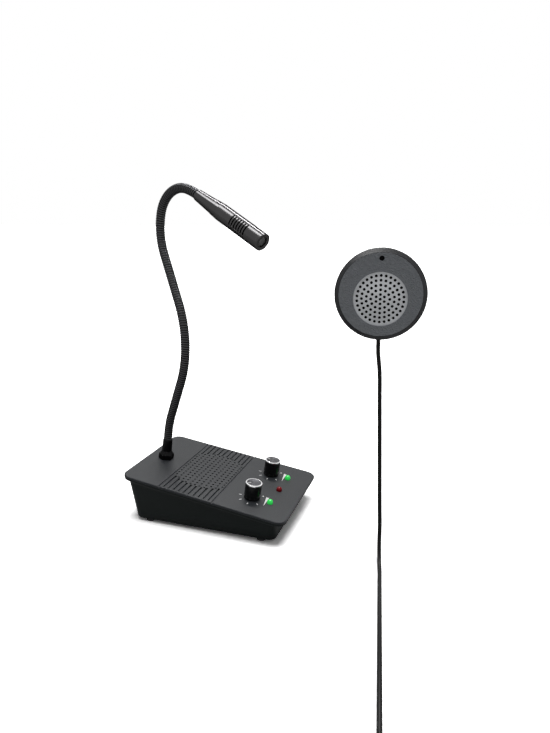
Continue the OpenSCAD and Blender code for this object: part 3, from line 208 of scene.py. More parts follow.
def surface(name: str, points: Array, close_rows: bool = False, caps: bool = False,
            smooth: bool = True) -> Piece:
    """Makes a surface of quads from a grid of points, each a function of two parameters.

    Args:
        name: The piece's name.
        points: Array of rows x cols x 3; a row is a closed ring, anticlockwise seen from the last.
        close_rows: Whether the last row joins the first.
        caps: Whether the first and last rows are closed with a face.
        smooth: Whether the faces are shaded as one curved surface.

    Returns:
        The new object.
    """
    rows, cols = points.shape[:2]
    c = np.arange(cols)
    r = np.arange(rows if close_rows else rows - 1)[:, None]
    r1, c1 = (r + 1) % rows, (c + 1) % cols
    quads = np.stack([r * cols + c, r * cols + c1, r1 * cols + c1, r1 * cols + c], axis=-1)
    faces = list(quads.reshape(-1, 4))
    if caps:
        faces += [c[::-1], (rows - 1) * cols + c]
    return new_piece(name, points.reshape(-1, 3), faces, smooth)


def lathe(name: str, place: Place, profile: Array, sides: int = 96, loop: bool = False,
          smooth: bool = True) -> Piece:
    """Turns a profile round a place's out direction: (r, z) goes to (r cos a, r sin a, z).

    Args:
        name: The piece's name.
        place: Where the axis stands.
        profile: Rows of radius and height in metres, from the axis round to the axis, or a loop.
        sides: Steps round the axis.
        loop: Whether the profile's end joins its start.
        smooth: Whether the faces are shaded as one curved surface.

    Returns:
        The new object, which is closed.
    """
    a = round_steps(sides)
    r, z = np.maximum(profile[:, 0], OFF_AXIS)[:, None], profile[:, 1][:, None]
    local = np.stack(np.broadcast_arrays(r * np.cos(a), r * np.sin(a), z), axis=-1)
    return surface(name, place.at(local), close_rows=loop, smooth=smooth)


def prism(name: str, place: Place, outline: Array, height: float) -> Piece:
    """Raises a flat outline to a plate: the outline at height 0 and at the top, and two caps.

    Args:
        name: The piece's name.
        place: The plane that the outline lies in.
        outline: Rows of x and y in metres, anticlockwise.
        height: Thickness in metres.

    Returns:
        The new object.
    """
    z = np.array([0.0, height])[:, None]
    local = np.stack(np.broadcast_arrays(outline[:, 0], outline[:, 1], z), axis=-1)
    return surface(name, place.at(local), caps=True, smooth=False)


def rounded_bar(half: float, start: float, end: float, steps: int) -> Array:
    """Works out the outline of a bar along +Y: a half circle at each end, joined by straight sides.

    Args:
        half: Half the bar's width.
        start: Where it starts, in metres.
        end: Where it ends.
        steps: Steps round each end.

    Returns:
        Rows of x and y, anticlockwise.
    """
    a = np.linspace(0, math.pi, steps + 1)
    far = np.stack([half * np.cos(a), end - half + half * np.sin(a)], axis=1)
    near = np.stack([-half * np.cos(a), start + half - half * np.sin(a)], axis=1)
    return np.concatenate([far, near])


def join(name: str, pieces: list[Piece]) -> Piece:
    """Joins objects into the first one and renames it.

    Args:
        name: The joined piece's name.
        pieces: The objects, all at the origin.

    Returns:
        The first object, which now holds them all.
    """
    bpy.ops.object.select_all(action="DESELECT")
    for piece in pieces:
        piece.select_set(True)
    bpy.context.view_layer.objects.active = pieces[0]
    bpy.ops.object.join()
    pieces[0].name = pieces[0].data.name = name
    return pieces[0]


def smooth_steps(points: Array, per_span: int) -> Array:
    """Runs a smooth line through points.

    Each span is a cubic whose slope at each end is that from the point before to the point after.

    Args:
        points: Rows of x, y and z.
        per_span: Steps on each span.

    Returns:
        The finer line, which passes through every given point.
    """
    gaps = np.linalg.norm(np.diff(points, axis=0), axis=1)
    s = np.concatenate([[0], np.cumsum(gaps)])
    slope = np.gradient(points, s, axis=0, edge_order=1)
    t = np.linspace(0, 1, per_span, endpoint=False)[None, :, None]
    h = gaps[:, None, None]
    p0, p1 = points[:-1, None], points[1:, None]
    m0, m1 = slope[:-1, None] * h, slope[1:, None] * h
    line = ((2 * t**3 - 3 * t**2 + 1) * p0 + (t**3 - 2 * t**2 + t) * m0
            + (-2 * t**3 + 3 * t**2) * p1 + (t**3 - t**2) * m1)
    return np.concatenate([line.reshape(-1, 3), points[-1:]])


def carried_round(line: Array, radius: float, sides: int, start_side: Array) -> Array:
    """Carries a circle along a line, square to it, without twist.

    Args:
        line: Rows of x, y and z.
        radius: The circle's radius.
        sides: Points round the circle.
        start_side: A direction across the line's start.

    Returns:
        Array of rows x sides x 3.
    """
    ahead = unit(np.gradient(line, axis=0))
    side = np.empty_like(line)
    v = start_side
    for i, t in enumerate(ahead):
        v = unit(v - (v @ t) * t)
        side[i] = v
    other = np.cross(ahead, side)
    a = round_steps(sides)[None, :, None]
    return line[:, None] + radius * (np.cos(a) * side[:, None] + np.sin(a) * other[:, None])


# --- finishes


class Grain(Enum):
    """How a surface is worked, which sets the pattern of its relief."""

    SPARKED = "spark-eroded mould texture"
    SATIN = "fine even satin"
    TURNED = "fine rings from the lathe"
    BRUSHED = "fine lines along one way"
    WOVEN = "woven threads"
    FOAMED = "open foam cells"
    CAST = "rough casting"


@dataclass(frozen=True)
class Finish:
    """One finish of the real object, and the nodes that give it.

    Colours are linear. Sizes are in metres.
    """

    name: str
    colour: Triple
    roughness: float
    metallic: float = 0.0
    specular: float = 0.5
    edge_tint: float = 1.0
    glow: float = 0.0
    grain: Grain = Grain.SATIN
    grain_size: float = 0.4 * MM
    relief: float = 0.15
    patch: float = 9 * MM
    patch_shade: float = 0.12
    patch_gloss: float = 0.1
    speckle_grains: float = 2.5
    speckle_shade: float = 0.06
    edge: float = 0.25 * MM
    # How much the edges are lightened: partly wear, partly a painted highlight along rims and
    # bevels.
    edge_wear_and_highlight: float = 0.15
    wear_and_highlight_gain: float = 4.0
    # How dark the neck's grooves are painted, as shade between the ribs; 1 paints none.
    swell_shade: float = 1.0
    swell_start: float = 0.55
    place: Place | None = None

    def centred(self, place: Place, name: str) -> Finish:
        """Returns the finish centred on a place, under a name of its own."""
        return replace(self, name=f"{self.name}_{name}", place=place)

    def material(self) -> bpy.types.Material:
        """Returns the finish's material, which is made the first time it is asked for."""
        return bpy.data.materials.get(self.name) or self._made()

    def _made(self) -> bpy.types.Material:
        """Builds the nodes: patches of tone, painted groove shade, edges lightened as wear and
        painted highlight, varied gloss and the grain's relief.
        """
        material = bpy.data.materials.new(self.name)
        nodes = Nodes(material)
        spot = nodes.spot(self.place)
        patches = nodes.noise(spot, 1 / self.patch, detail=3)
        shade = nodes.spread(patches, 1 - self.patch_shade, 1 + self.patch_shade)
        speckles = nodes.noise(spot, 1 / (self.speckle_grains * self.grain_size), detail=2)
        speckle = nodes.spread(speckles, 1 - self.speckle_shade, 1 + self.speckle_shade)
        colour = nodes.scaled(nodes.scaled(self.colour, shade), speckle)
        # Painted shade: the neck's grooves are darkened by the swell attribute, standing in for
        # shadow between the ribs.
        if self.swell_shade < 1:
            swell = nodes.carried(SWELL)
            painted_groove_shade = nodes.spread(swell, self.swell_shade, 1, start=self.swell_start)
            colour = nodes.scaled(colour, painted_groove_shade)
        below = {}
        # Edges are lightened by the eased-edge mask: partly wear, partly a painted highlight along
        # rims and bevels.
        if self.edge:
            below["Normal"] = nodes.rounded_edge(self.edge)
            brighter = 1 + self.wear_and_highlight_gain * self.edge_wear_and_highlight
            worn_and_highlit = nodes.spread(nodes.edge_mask(below["Normal"]), 1, brighter)
            colour = nodes.scaled(colour, worn_and_highlit)
        matt = min(1.0, self.roughness * (1 + self.patch_gloss))
        nodes.fill("Principled BSDF", {
            "Base Color": colour,
            "Metallic": self.metallic,
            "Roughness": nodes.spread(patches, self.roughness * (1 - self.patch_gloss), matt),
            "IOR": 1.5,
            "Specular IOR Level": self.specular,
            "Specular Tint": (self.edge_tint, self.edge_tint, self.edge_tint, 1),
            "Normal": nodes.bump(self._height(nodes, spot), self.relief, self.grain_size, below)})
        if self.glow:
            glowing = {"Emission Color": colour, "Emission Strength": self.glow}
            nodes.fill("Principled BSDF", glowing)
        return material

    def _height(self, nodes: Nodes, spot: Socket) -> Socket:
        """Returns the height pattern that the grain asks for.

        Args:
            nodes: The material's nodes.
            spot: The coordinates that the pattern is laid on.

        Returns:
            The pattern's link.
        """
        scale = 1 / self.grain_size
        if self.grain is Grain.TURNED:
            return nodes.rings(spot, scale)
        if self.grain is Grain.BRUSHED:
            return nodes.noise(nodes.stretched(spot, (1, 0.02, 1)), scale, detail=2)
        if self.grain is Grain.WOVEN:
            return nodes.weave(spot, scale)
        if self.grain in (Grain.FOAMED, Grain.SPARKED):
            return nodes.cells(spot, scale)
        return nodes.noise(spot, scale, detail=4)


class Nodes:
    """A short way to write one material's or world's nodes. Scales are in cycles to the metre."""

    def __init__(self, owner: bpy.types.ID) -> None:
        """Starts on a material or world, with the nodes that it has by itself."""
        owner.use_nodes = True
        self.tree = owner.node_tree

    def fill(self, node: bpy.types.Node | str, values: dict[str | int, object]) -> None:
        """Gives a node's sockets their links and fixed values.

        Args:
            node: The node, or the name of one that was there from the start.
            values: Link or fixed value by the socket's name or number.
        """
        inputs = (self.tree.nodes[node] if isinstance(node, str) else node).inputs
        for key, value in values.items():
            if isinstance(value, Socket):
                self.tree.links.new(value, inputs[key])
            else:
                inputs[key].default_value = value

    def add(self, kind: str, values: dict[str | int, object], out: str | int = 0,
            **settings: object) -> Socket:
        """Adds a node.

        Args:
            kind: The end of the node's type name.
            values: Link or fixed value by the socket's name or number.
            out: Name or number of the output that is wanted.
            **settings: The node's own settings by name.

        Returns:
            That output.
        """
        node = self.tree.nodes.new(f"ShaderNode{kind}")
        for key, value in settings.items():
            setattr(node, key, value)
        self.fill(node, values)
        return node.outputs[out]

    def spot(self, place: Place | None) -> Socket:
        """Returns the object coordinates in metres, seen from a place if one is given."""
        coords = self.add("TexCoord", {}, "Object")
        if place is None:
            return coords
        values = {"Vector": coords, "Location": tuple(place.origin), "Rotation": place.euler()}
        return self.add("Mapping", values, vector_type="TEXTURE")

    def stretched(self, spot: Socket, by: Triple) -> Socket:
        """Returns the coordinates scaled by a factor for each axis."""
        return self.add("Mapping", {"Vector": spot, "Scale": by})

    def noise(self, spot: Socket, scale: float, detail: float) -> Socket:
        """Returns cloudy noise."""
        return self.add("TexNoise", {"Vector": spot, "Scale": scale, "Detail": detail}, "Fac")

    def cells(self, spot: Socket, scale: float) -> Socket:
        """Returns the distance from the nearest of scattered points."""
        return self.add("TexVoronoi", {"Vector": spot, "Scale": scale}, "Distance")

    def rings(self, spot: Socket, scale: float) -> Socket:
        """Returns fine rings round the place's out direction."""
        values = {"Vector": spot, "Scale": scale / BANDS_PER_UNIT, "Distortion": 1.5, "Detail": 2}
        return self.add("TexWave", values, "Fac", wave_type="RINGS", rings_direction="Z")

    def weave(self, spot: Socket, scale: float) -> Socket:
        """Returns crossed bands, as of warp and weft."""
        values = {"Vector": spot, "Scale": scale / BANDS_PER_UNIT}
        bands = (self.add("TexWave", values, "Fac", bands_direction=way) for way in ("X", "Y"))
        return self.math("MAXIMUM", *bands)

    def math(self, work: str, *values: object) -> Socket:
        """Returns the result of a Math node on values or links."""
        return self.add("Math", dict(enumerate(values)), operation=work)

    def spread(self, value: Socket, low: float, high: float, start: float = 0.0,
               end: float = 1.0) -> Socket:
        """Returns a value carried from start..end to low..high."""
        values = {"Value": value, "From Min": start, "From Max": end, "To Min": low, "To Max": high}
        return self.add("MapRange", values, "Result")

    def scaled(self, colour: object, factor: Socket) -> Socket:
        """Returns a colour times a factor."""
        return self.add("VectorMath", {0: colour, "Scale": factor}, "Vector", operation="SCALE")

    def mixed(self, factor: Socket, first: object, second: object) -> Socket:
        """Returns a mix of two colours, the second where the factor is 1."""
        return self.add("Mix", {0: factor, 6: first, 7: second}, 2, data_type="RGBA")

    def carried(self, name: str) -> Socket:
        """Returns a number that the mesh carries at each of its points."""
        return self.add("Attribute", {}, "Fac", attribute_name=name)

    def ray(self, *kinds: str) -> Socket:
        """Returns 1 for a ray of one of the kinds, such as Camera, and 0 for any other."""
        found = self.add("LightPath", {}, f"Is {kinds[0]} Ray")
        for kind in kinds[1:]:
            found = self.math("MAXIMUM", found, self.add("LightPath", {}, f"Is {kind} Ray"))
        return found

    def rounded_edge(self, radius: float) -> Socket:
        """Returns the surface direction with edges eased over a radius."""
        return self.add("Bevel", {"Radius": radius}, samples=6)

    def edge_mask(self, rounded: Socket) -> Socket:
        """Returns 1 on an edge and 0 away from it, from how far the eased direction differs."""
        values = {0: self.add("NewGeometry", {}, "Normal"), 1: rounded}
        alike = self.add("VectorMath", values, "Value", operation="DOT_PRODUCT")
        return self.spread(alike, low=1, high=0, start=0.75, end=0.99)

    def bump(self, height: Socket, strength: float, depth: float, below: dict) -> Socket:
        """Returns the surface direction with a pattern of that depth on it, or on one below."""
        values = {"Height": height, "Strength": strength, "Distance": depth}
        return self.add("Bump", values | below)


# The deck's strong edge lightening is mostly a painted highlight along the cover's bevel.
DECK = Finish("DeckPlastic", (0.0175, 0.0195, 0.0225), 0.5, specular=0.2, grain=Grain.SPARKED,
              grain_size=0.35 * MM, relief=0.12, patch=30 * MM, patch_shade=0.06, edge=0.5 * MM,
              edge_wear_and_highlight=0.6)
CASE = Finish("CounterHousing", (0.0105, 0.0145, 0.0142), 0.45, specular=0.12,
              grain=Grain.SPARKED, grain_size=0.5 * MM, relief=0.1, patch=40 * MM,
              patch_shade=0.1, edge=0.4 * MM, edge_wear_and_highlight=0.1)
FEET = Finish("FootRubber", (0.012, 0.012, 0.012), 0.75, grain=Grain.CAST, relief=0.3)
STEEL = Finish("ScrewSteel", (0.55, 0.55, 0.57), 0.3, metallic=1.0, grain=Grain.BRUSHED,
               relief=0.1)
BOARD = Finish("CircuitBoard", (0.012, 0.11, 0.04), 0.3, grain=Grain.WOVEN, grain_size=1.2 * MM,
               relief=0.05)
CHIP = Finish("BoardParts", (0.02, 0.02, 0.024), 0.5, grain=Grain.CAST)
SPEAKER = Finish("SpeakerSteel", (0.35, 0.35, 0.36), 0.35, metallic=1.0)
MAGNET = Finish("MagnetFerrite", (0.05, 0.05, 0.052), 0.6, grain=Grain.CAST, relief=0.4)
CONE = Finish("ConePaper", (0.02, 0.02, 0.02), 0.9, grain=Grain.FOAMED, grain_size=0.3 * MM,
              relief=0.4)
CLOTH = Finish("GrilleCloth", (0.004, 0.004, 0.004), 0.95, specular=0.2, grain=Grain.WOVEN,
               grain_size=0.5 * MM, relief=0.6, edge=0.0)
KNOB = Finish("KnobPlastic", (0.004, 0.004, 0.0045), 0.25, specular=0.25, relief=0.05,
              edge=0.3 * MM)
RING = Finish("BrightRing", (0.97, 0.97, 0.98), 0.14, metallic=1.0, grain=Grain.TURNED,
              grain_size=0.15 * MM, relief=0.05, patch_shade=0.02, edge=0.1 * MM)
CAP = Finish("KnobCap", (0.035, 0.035, 0.039), 0.38, metallic=0.7, grain=Grain.TURNED,
             grain_size=0.25 * MM, relief=0.2)
PRINT = Finish("WhitePrint", (0.72, 0.72, 0.72), 0.6, relief=0.05, patch_shade=0.04, edge=0.0)
SOCKET = Finish("SocketPlastic", (0.012, 0.012, 0.012), 0.4, relief=0.1)
# The neck's grooves are painted at 0.03 of the ribs' colour, as painted shade between the ribs.
NECK = Finish("NeckMetal", (0.075, 0.075, 0.078), 0.2, metallic=0.95, edge_tint=0.2, relief=0.05,
              patch_shade=0.1, edge=0.0, swell_shade=0.03)
NECK_FOOT = Finish("NeckFootMetal", (0.012, 0.012, 0.0125), 0.3, metallic=0.8, edge_tint=0.1,
                   relief=0.05, edge_wear_and_highlight=0.5)
MIC = Finish("MicMetal", (0.062, 0.061, 0.062), 0.2, metallic=0.95, edge_tint=0.25,
             grain_size=0.3 * MM, relief=0.04, patch_shade=0.08, edge_wear_and_highlight=0.5)
SCREEN = Finish("ScreenMesh", (0.22, 0.22, 0.22), 0.5, metallic=0.6, grain=Grain.WOVEN,
                grain_size=0.9 * MM, relief=0.9, edge=0.0)
CAPSULE = Finish("CapsuleMetal", (0.25, 0.25, 0.26), 0.4, metallic=0.8)
OUTER_CASE = Finish("OuterHousing", (0.02, 0.021, 0.023), 0.42, specular=0.25,
                    grain=Grain.SPARKED, grain_size=0.45 * MM, relief=0.1, edge=0.3 * MM)
OUTER_FACE = Finish("OuterFacePlastic", (0.185, 0.196, 0.212), 0.55, grain=Grain.SPARKED,
                    grain_size=1.0 * MM, relief=0.6, patch=2.5 * MM, patch_shade=0.16,
                    edge=0.2 * MM)
# The grille's edge lightening is partly a painted highlight round its holes' rims.
GRILLE = Finish("GrilleMetal", (0.6, 0.61, 0.63), 0.38, metallic=0.5, relief=0.12,
                patch=4 * MM, patch_shade=0.08, edge=0.15 * MM, edge_wear_and_highlight=0.35)
FOAM = Finish("PadFoam", (0.015, 0.015, 0.015), 0.9, grain=Grain.FOAMED, relief=0.6)
CABLE = Finish("CableSheath", (0.006, 0.006, 0.006), 0.4, specular=0.12, relief=0.08,
               patch=25 * MM, edge=0.0)
TIE = Finish("TiePlastic", (0.02, 0.02, 0.02), 0.55, grain=Grain.WOVEN, relief=0.3,
             edge=0.1 * MM)
PLUG = Finish("PlugPlastic", (0.01, 0.01, 0.01), 0.5, grain=Grain.SPARKED, relief=0.2)
PLUG_METAL = Finish("PlugMetal", (0.8, 0.72, 0.5), 0.18, metallic=1.0, grain=Grain.TURNED,
                    grain_size=0.2 * MM, relief=0.04, edge=0.1 * MM)
GREEN = Finish("GreenLens", (0.02, 0.5, 0.07), 0.25, specular=0.4, glow=0.6, relief=0.02,
               patch_shade=0.05, edge=0.0)
RED = Finish("RedLens", (0.2, 0.002, 0.005), 0.22, specular=0.12, relief=0.02,
             patch_shade=0.05, edge=0.0)


def dress(frame: dict, finishes: dict[str, Finish]) -> None:
    """Gives CAD nodes their finishes.

    Args:
        finishes: Finish by node name.
    """
    for node, finish in finishes.items():
        for slot in frame["nodes"][node].material_slots:
            slot.material = finish.material()
        LOG.info("dressed %s in %s", node, finish.name)


def settle(piece: Piece, finish: Finish, body: str | None) -> None:
    """Gives a new piece its finish and the body that it rides on.

    Args:
        piece: The finished mesh.
        finish: What its surface is.
        body: The body, or None for a piece that is left on no body.
    """
    piece.data.materials.append(finish.material())
    if body:
        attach(piece, body)
    LOG.info("made %s, %d faces", piece.name, len(piece.data.polygons))


# --- the signal cable


@dataclass
class SignalCable:
    """The outer unit's cable: down to the counter, along it, round its coil and out to the plug.

    The points exit_point, hang_top and hang_foot are in millimetres, and the other sizes in metres.
    Each point of the tail has its distance from the coil in millimetres, and its height as a share
    of that of the coil's end.
    """

    frame: dict
    diameter: float = 3.5 * MM
    sides: int = 20
    exit_point: Triple = (-21.267, -153.359, 192.1)
    hang_top: Triple = (-24.4, -156, 165)
    hang_foot: Triple = (-36, -163.8, 26)
    hang_steps: int = 6
    turn_steps: int = 5
    run_slope: float = 0.15
    run_start_y: float = -159.4 * MM
    run_from: float = -60 * MM
    run_step: float = 12 * MM
    run_count: int = 18
    climb_steps: int = 3
    route_fineness: int = 5
    coil_x: float = -288 * MM
    coil_lift: float = 2.45 * MM
    turns: float = 11.25
    layers: int = 4
    per_turn: int = 40
    inner_radius: float = 14.5 * MM
    free_gap: float = 0.5 * MM
    tail: tuple[tuple[float, float], ...] = (
        (8, 0.98), (16, 0.88), (24, 0.66), (32, 0.4), (40, 0.18), (48, 0.07), (56, 0.1))
    tail_length: float = 62 * MM
    tail_fineness: int = 6
    plug_radius: float = 4 * MM
    line: Array = field(init=False)

    def __post_init__(self) -> None:
        """Works out the cable's whole middle line, from the grommet to the plug."""
        route = smooth_steps(self._route(), self.route_fineness)
        coil = self._coil()
        tail = smooth_steps(self._tail(coil[-1]), self.tail_fineness)
        self.line = np.concatenate([route[:-1], coil[:-1], tail])
        self.line[:, 2] = np.maximum(self.line[:, 2], self.radius)

    @property
    def radius(self) -> float:
        """Half the cable's thickness."""
        return self.diameter / 2

    @property
    def run_way(self) -> Array:
        """The way that the cable runs along the counter."""
        return unit(np.array([-1.0, -self.run_slope, 0.0]))

    @property
    def run_side(self) -> Array:
        """The way across the run, to the side that the coil lies on."""
        return np.array([self.run_way[1], -self.run_way[0], 0.0])

    def _route(self) -> Array:
        """Returns the points from the grommet to the coil.

        The hanging part is straight, a quarter of an ellipse turns it on to the counter, and the
        run is straight and rises to the coil over its last few points.
        """
        points = (self.exit_point, self.hang_top, self.hang_foot)
        start, top, foot = (MM * np.array(p) for p in points)
        hang = top + (foot - top) * np.linspace(0, 1, self.hang_steps + 1)[:, None]
        gap = np.array([self.run_from, self._run_y(self.run_from), self.radius]) - foot
        a = np.linspace(0, math.pi / 2, self.turn_steps + 1)[1:, None]
        turn = foot + np.concatenate([gap[:2] * (1 - np.cos(a)), gap[2] * np.sin(a)], axis=1)
        i = np.arange(1, self.run_count + 1)
        x = self.run_from - self.run_step * i
        rise = np.clip((i - self.run_count + self.climb_steps) / self.climb_steps, 0, 1)
        z = self.radius + (self.coil_lift - self.radius) * rise
        run = np.stack([x, self._run_y(x), z], axis=1)
        end = self._coil_start()
        return np.concatenate([[start, start - 2 * self.diameter * UP], hang, turn, run,
                               [end - self.diameter * self.run_way, end]])

    def _run_y(self, x: float | Array) -> float | Array:
        """Returns where across the counter the run passes at x."""
        return self.run_start_y + x * self.run_slope

    def _coil_start(self) -> Array:
        """Returns the point where the run goes over into the coil."""
        return np.array([self.coil_x, self._run_y(self.coil_x), self.coil_lift])

    def _coil(self) -> Array:
        """Returns the coil's middle line.

        The radius falls and rises steadily with the distance of the turn count from each layer's
        end, the angle falls steadily, and the height climbs one step in the half turn round each
        reversal.
        """
        step = self.diameter + self.free_gap
        layer = self.turns / self.layers
        outer = self.inner_radius + step * layer
        middle = self._coil_start() + outer * self.run_side
        t = np.linspace(0, self.turns, round(self.turns * self.per_turn) + 1)
        r = self.inner_radius + step * np.abs(t % (2 * layer) - layer)
        r[-1] = outer
        a = math.atan2(-self.run_side[1], -self.run_side[0]) - 2 * math.pi * t
        climbs = np.arange(1, self.layers)[:, None]
        up = np.clip((t - climbs * layer) * 2 + 0.5, 0, 1).sum(axis=0)
        z = self.coil_lift + step * up
        return np.stack([middle[0] + r * np.cos(a), middle[1] + r * np.sin(a), z], axis=1)

    def _tail(self, start: Array) -> Array:
        """Works out the tail: straight on along the coil's tangent, down and up into the plug.

        Args:
            start: The coil's last point.

        Returns:
            Rows of x, y and z.
        """
        turned = 2 * math.pi * self.turns + math.pi / 2
        heading = math.atan2(self.run_way[0], -self.run_way[1]) - turned
        way = np.array([math.cos(heading), math.sin(heading), 0.0])
        flat = start * np.array([1.0, 1.0, 0.0])
        reach, share = np.array(self.tail).T
        height = self.radius + (start[2] - self.radius) * share
        points = flat + reach[:, None] * MM * way + height[:, None] * UP
        end = flat + self.tail_length * way + self.plug_radius * UP
        return np.concatenate([[start, start + self.diameter * way], points, [end]])

    def length(self) -> float:
        """Returns the cable's length in metres."""
        return float(np.linalg.norm(np.diff(self.line, axis=0), axis=1).sum())

    def build(self) -> None:
        rings = carried_round(self.line, self.radius, self.sides, self.run_side)
        cable = surface("signal_cable", rings, caps=True)
        settle(cable, CABLE, "root")
        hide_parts("outer_cable", "cable_coil", "cable_tail")
        LOG.info("signal cable is %.3f m long", self.length())
        dress(self.frame, {"cable_tie": TIE, "plug_grip": PLUG, "plug_shank": PLUG_METAL})


# --- the gooseneck


@dataclass
class Gooseneck:
    """The ribbed neck: a line of arcs in one upright plane, with a spiral rib round it.

    Angles are in degrees and lengths in millimetres. Each arc has its length and its bend, and
    bend_at gives the joints' distances along the neck.
    """

    frame: dict
    slope: float = 8.4
    plane_turn: float = 22.3
    arcs: tuple[tuple[float, float], ...] = (
        (28, 15.6), (40, 0), (80, -46.2), (48, 0), (38, 38.5), (48, 89.9), (15, 10.9))
    bend_at: tuple[float, ...] = (0, 68, 148, 196)
    bend_reach: float = 22.0
    start_gap: float = 1.3
    end_step: float = 0.5
    rib_radius: float = 4.35
    groove_radius: float = 3.5
    rib_pitch: float = 2.25
    sides: int = 40
    steps_per_rib: int = 10
    line_steps: int = 6000
    bodies: tuple[str, ...] = ("root", "neck_lower", "neck_middle", "neck_upper", "microphone")

    @property
    def length(self) -> float:
        """The neck's length along its line."""
        return sum(length for length, _ in self.arcs)

    @property
    def ahead(self) -> Array:
        """The level direction that the neck leans to, in its plane."""
        turn = math.radians(self.plane_turn)
        return np.array([-math.sin(turn), -math.cos(turn), 0.0])

    @property
    def foot(self) -> Array:
        """The neck's lowest bend, where its line starts, in metres."""
        return np.array(row_with(self.frame["joints"], "child", self.bodies[1])["pos_m"])

    def middle(self, s: Array) -> tuple[Array, Array]:
        """Works out the neck's line: the lean grows evenly along each arc and is summed up.

        Args:
            s: Distances along the neck.

        Returns:
            Points as offsets from the foot in the row frame, and leans in radians.
        """
        lengths, bends = np.array(self.arcs).T
        ends = np.concatenate([[0], np.cumsum(lengths)])
        leans = math.radians(self.slope) + np.radians(np.concatenate([[0], np.cumsum(bends)]))
        fine = np.linspace(0, ends[-1], self.line_steps + 1)
        lean = np.interp(fine, ends, leans)
        mid = (lean[1:] + lean[:-1]) / 2
        reach, rise = (np.concatenate([[0], np.cumsum(f(mid) * fine[1])]) for f in (np.sin, np.cos))
        below = np.minimum(s, 0)
        along = np.interp(s, fine, reach) + below * math.sin(leans[0])
        height = np.interp(s, fine, rise) + below * math.cos(leans[0])
        return along[:, None] * self.ahead + height[:, None] * UP, np.interp(s, ends, leans)

    def skin(self, start: float, end: float) -> tuple[Array, Array]:
        """Works out the skin between two distances: a circle whose radius swells along a spiral.

        The swelling is the square root of the sine of the way through each rib, which gives round
        ribs with narrow grooves; the way through a rib grows with the distance and the angle.

        Args:
            start: First distance along the neck.
            end: Last distance.

        Returns:
            Array of rows x sides x 3, in metres, and the swelling at each point, 0 in a groove
            and 1 on a rib.
        """
        rows = round((end - start) / self.rib_pitch * self.steps_per_rib)
        s = np.linspace(start, end, rows + 1)
        line, lean = self.middle(s)
        a = round_steps(self.sides)
        through = s[:, None] / self.rib_pitch + a / (2 * math.pi)
        swell = np.sqrt(np.abs(np.sin(math.pi * through)))
        r = self.groove_radius + (self.rib_radius - self.groove_radius) * swell
        below = np.cos(lean)[:, None] * self.ahead - np.sin(lean)[:, None] * UP
        aside = np.cross(UP, self.ahead)
        ring = np.cos(a)[None, :, None] * below[:, None] + np.sin(a)[None, :, None] * aside
        return self.foot + MM * (line[:, None] + r[..., None] * ring), swell

    def build(self) -> None:
        """Makes a piece of skin for each bend, cut halfway between one bend and the next."""
        halves = [(a + b) / 2 for a, b in zip(self.bend_at, self.bend_at[1:])]
        cuts = [-self.start_gap, *halves, self.length]
        for i, (start, end) in enumerate(zip(cuts, cuts[1:])):
            points, swell = self.skin(start, end)
            piece = surface(f"neck_skin_{i + 1}", points, caps=True)
            carried = piece.data.attributes.new(SWELL, "FLOAT", "POINT")
            carried.data.foreach_set("value", swell.ravel())
            settle(piece, NECK, None)
            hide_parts(f"neck_hose_{i + 1}", f"neck_spine_{i + 1}")
            bend = self.bend_at[i]
            low = bend - (self.start_gap if i == 0 else self.bend_reach)
            ends, _ = self.middle(np.array([low, bend + self.bend_reach]))
            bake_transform(piece)

    @property
    def end_place(self) -> Place:
        """The neck's far end, facing on along the neck."""
        points, _ = self.middle(np.array([self.length - self.end_step, self.length]))
        before, end = self.foot + MM * points
        return Place.facing(end, end - before, UP)


# --- the counter unit


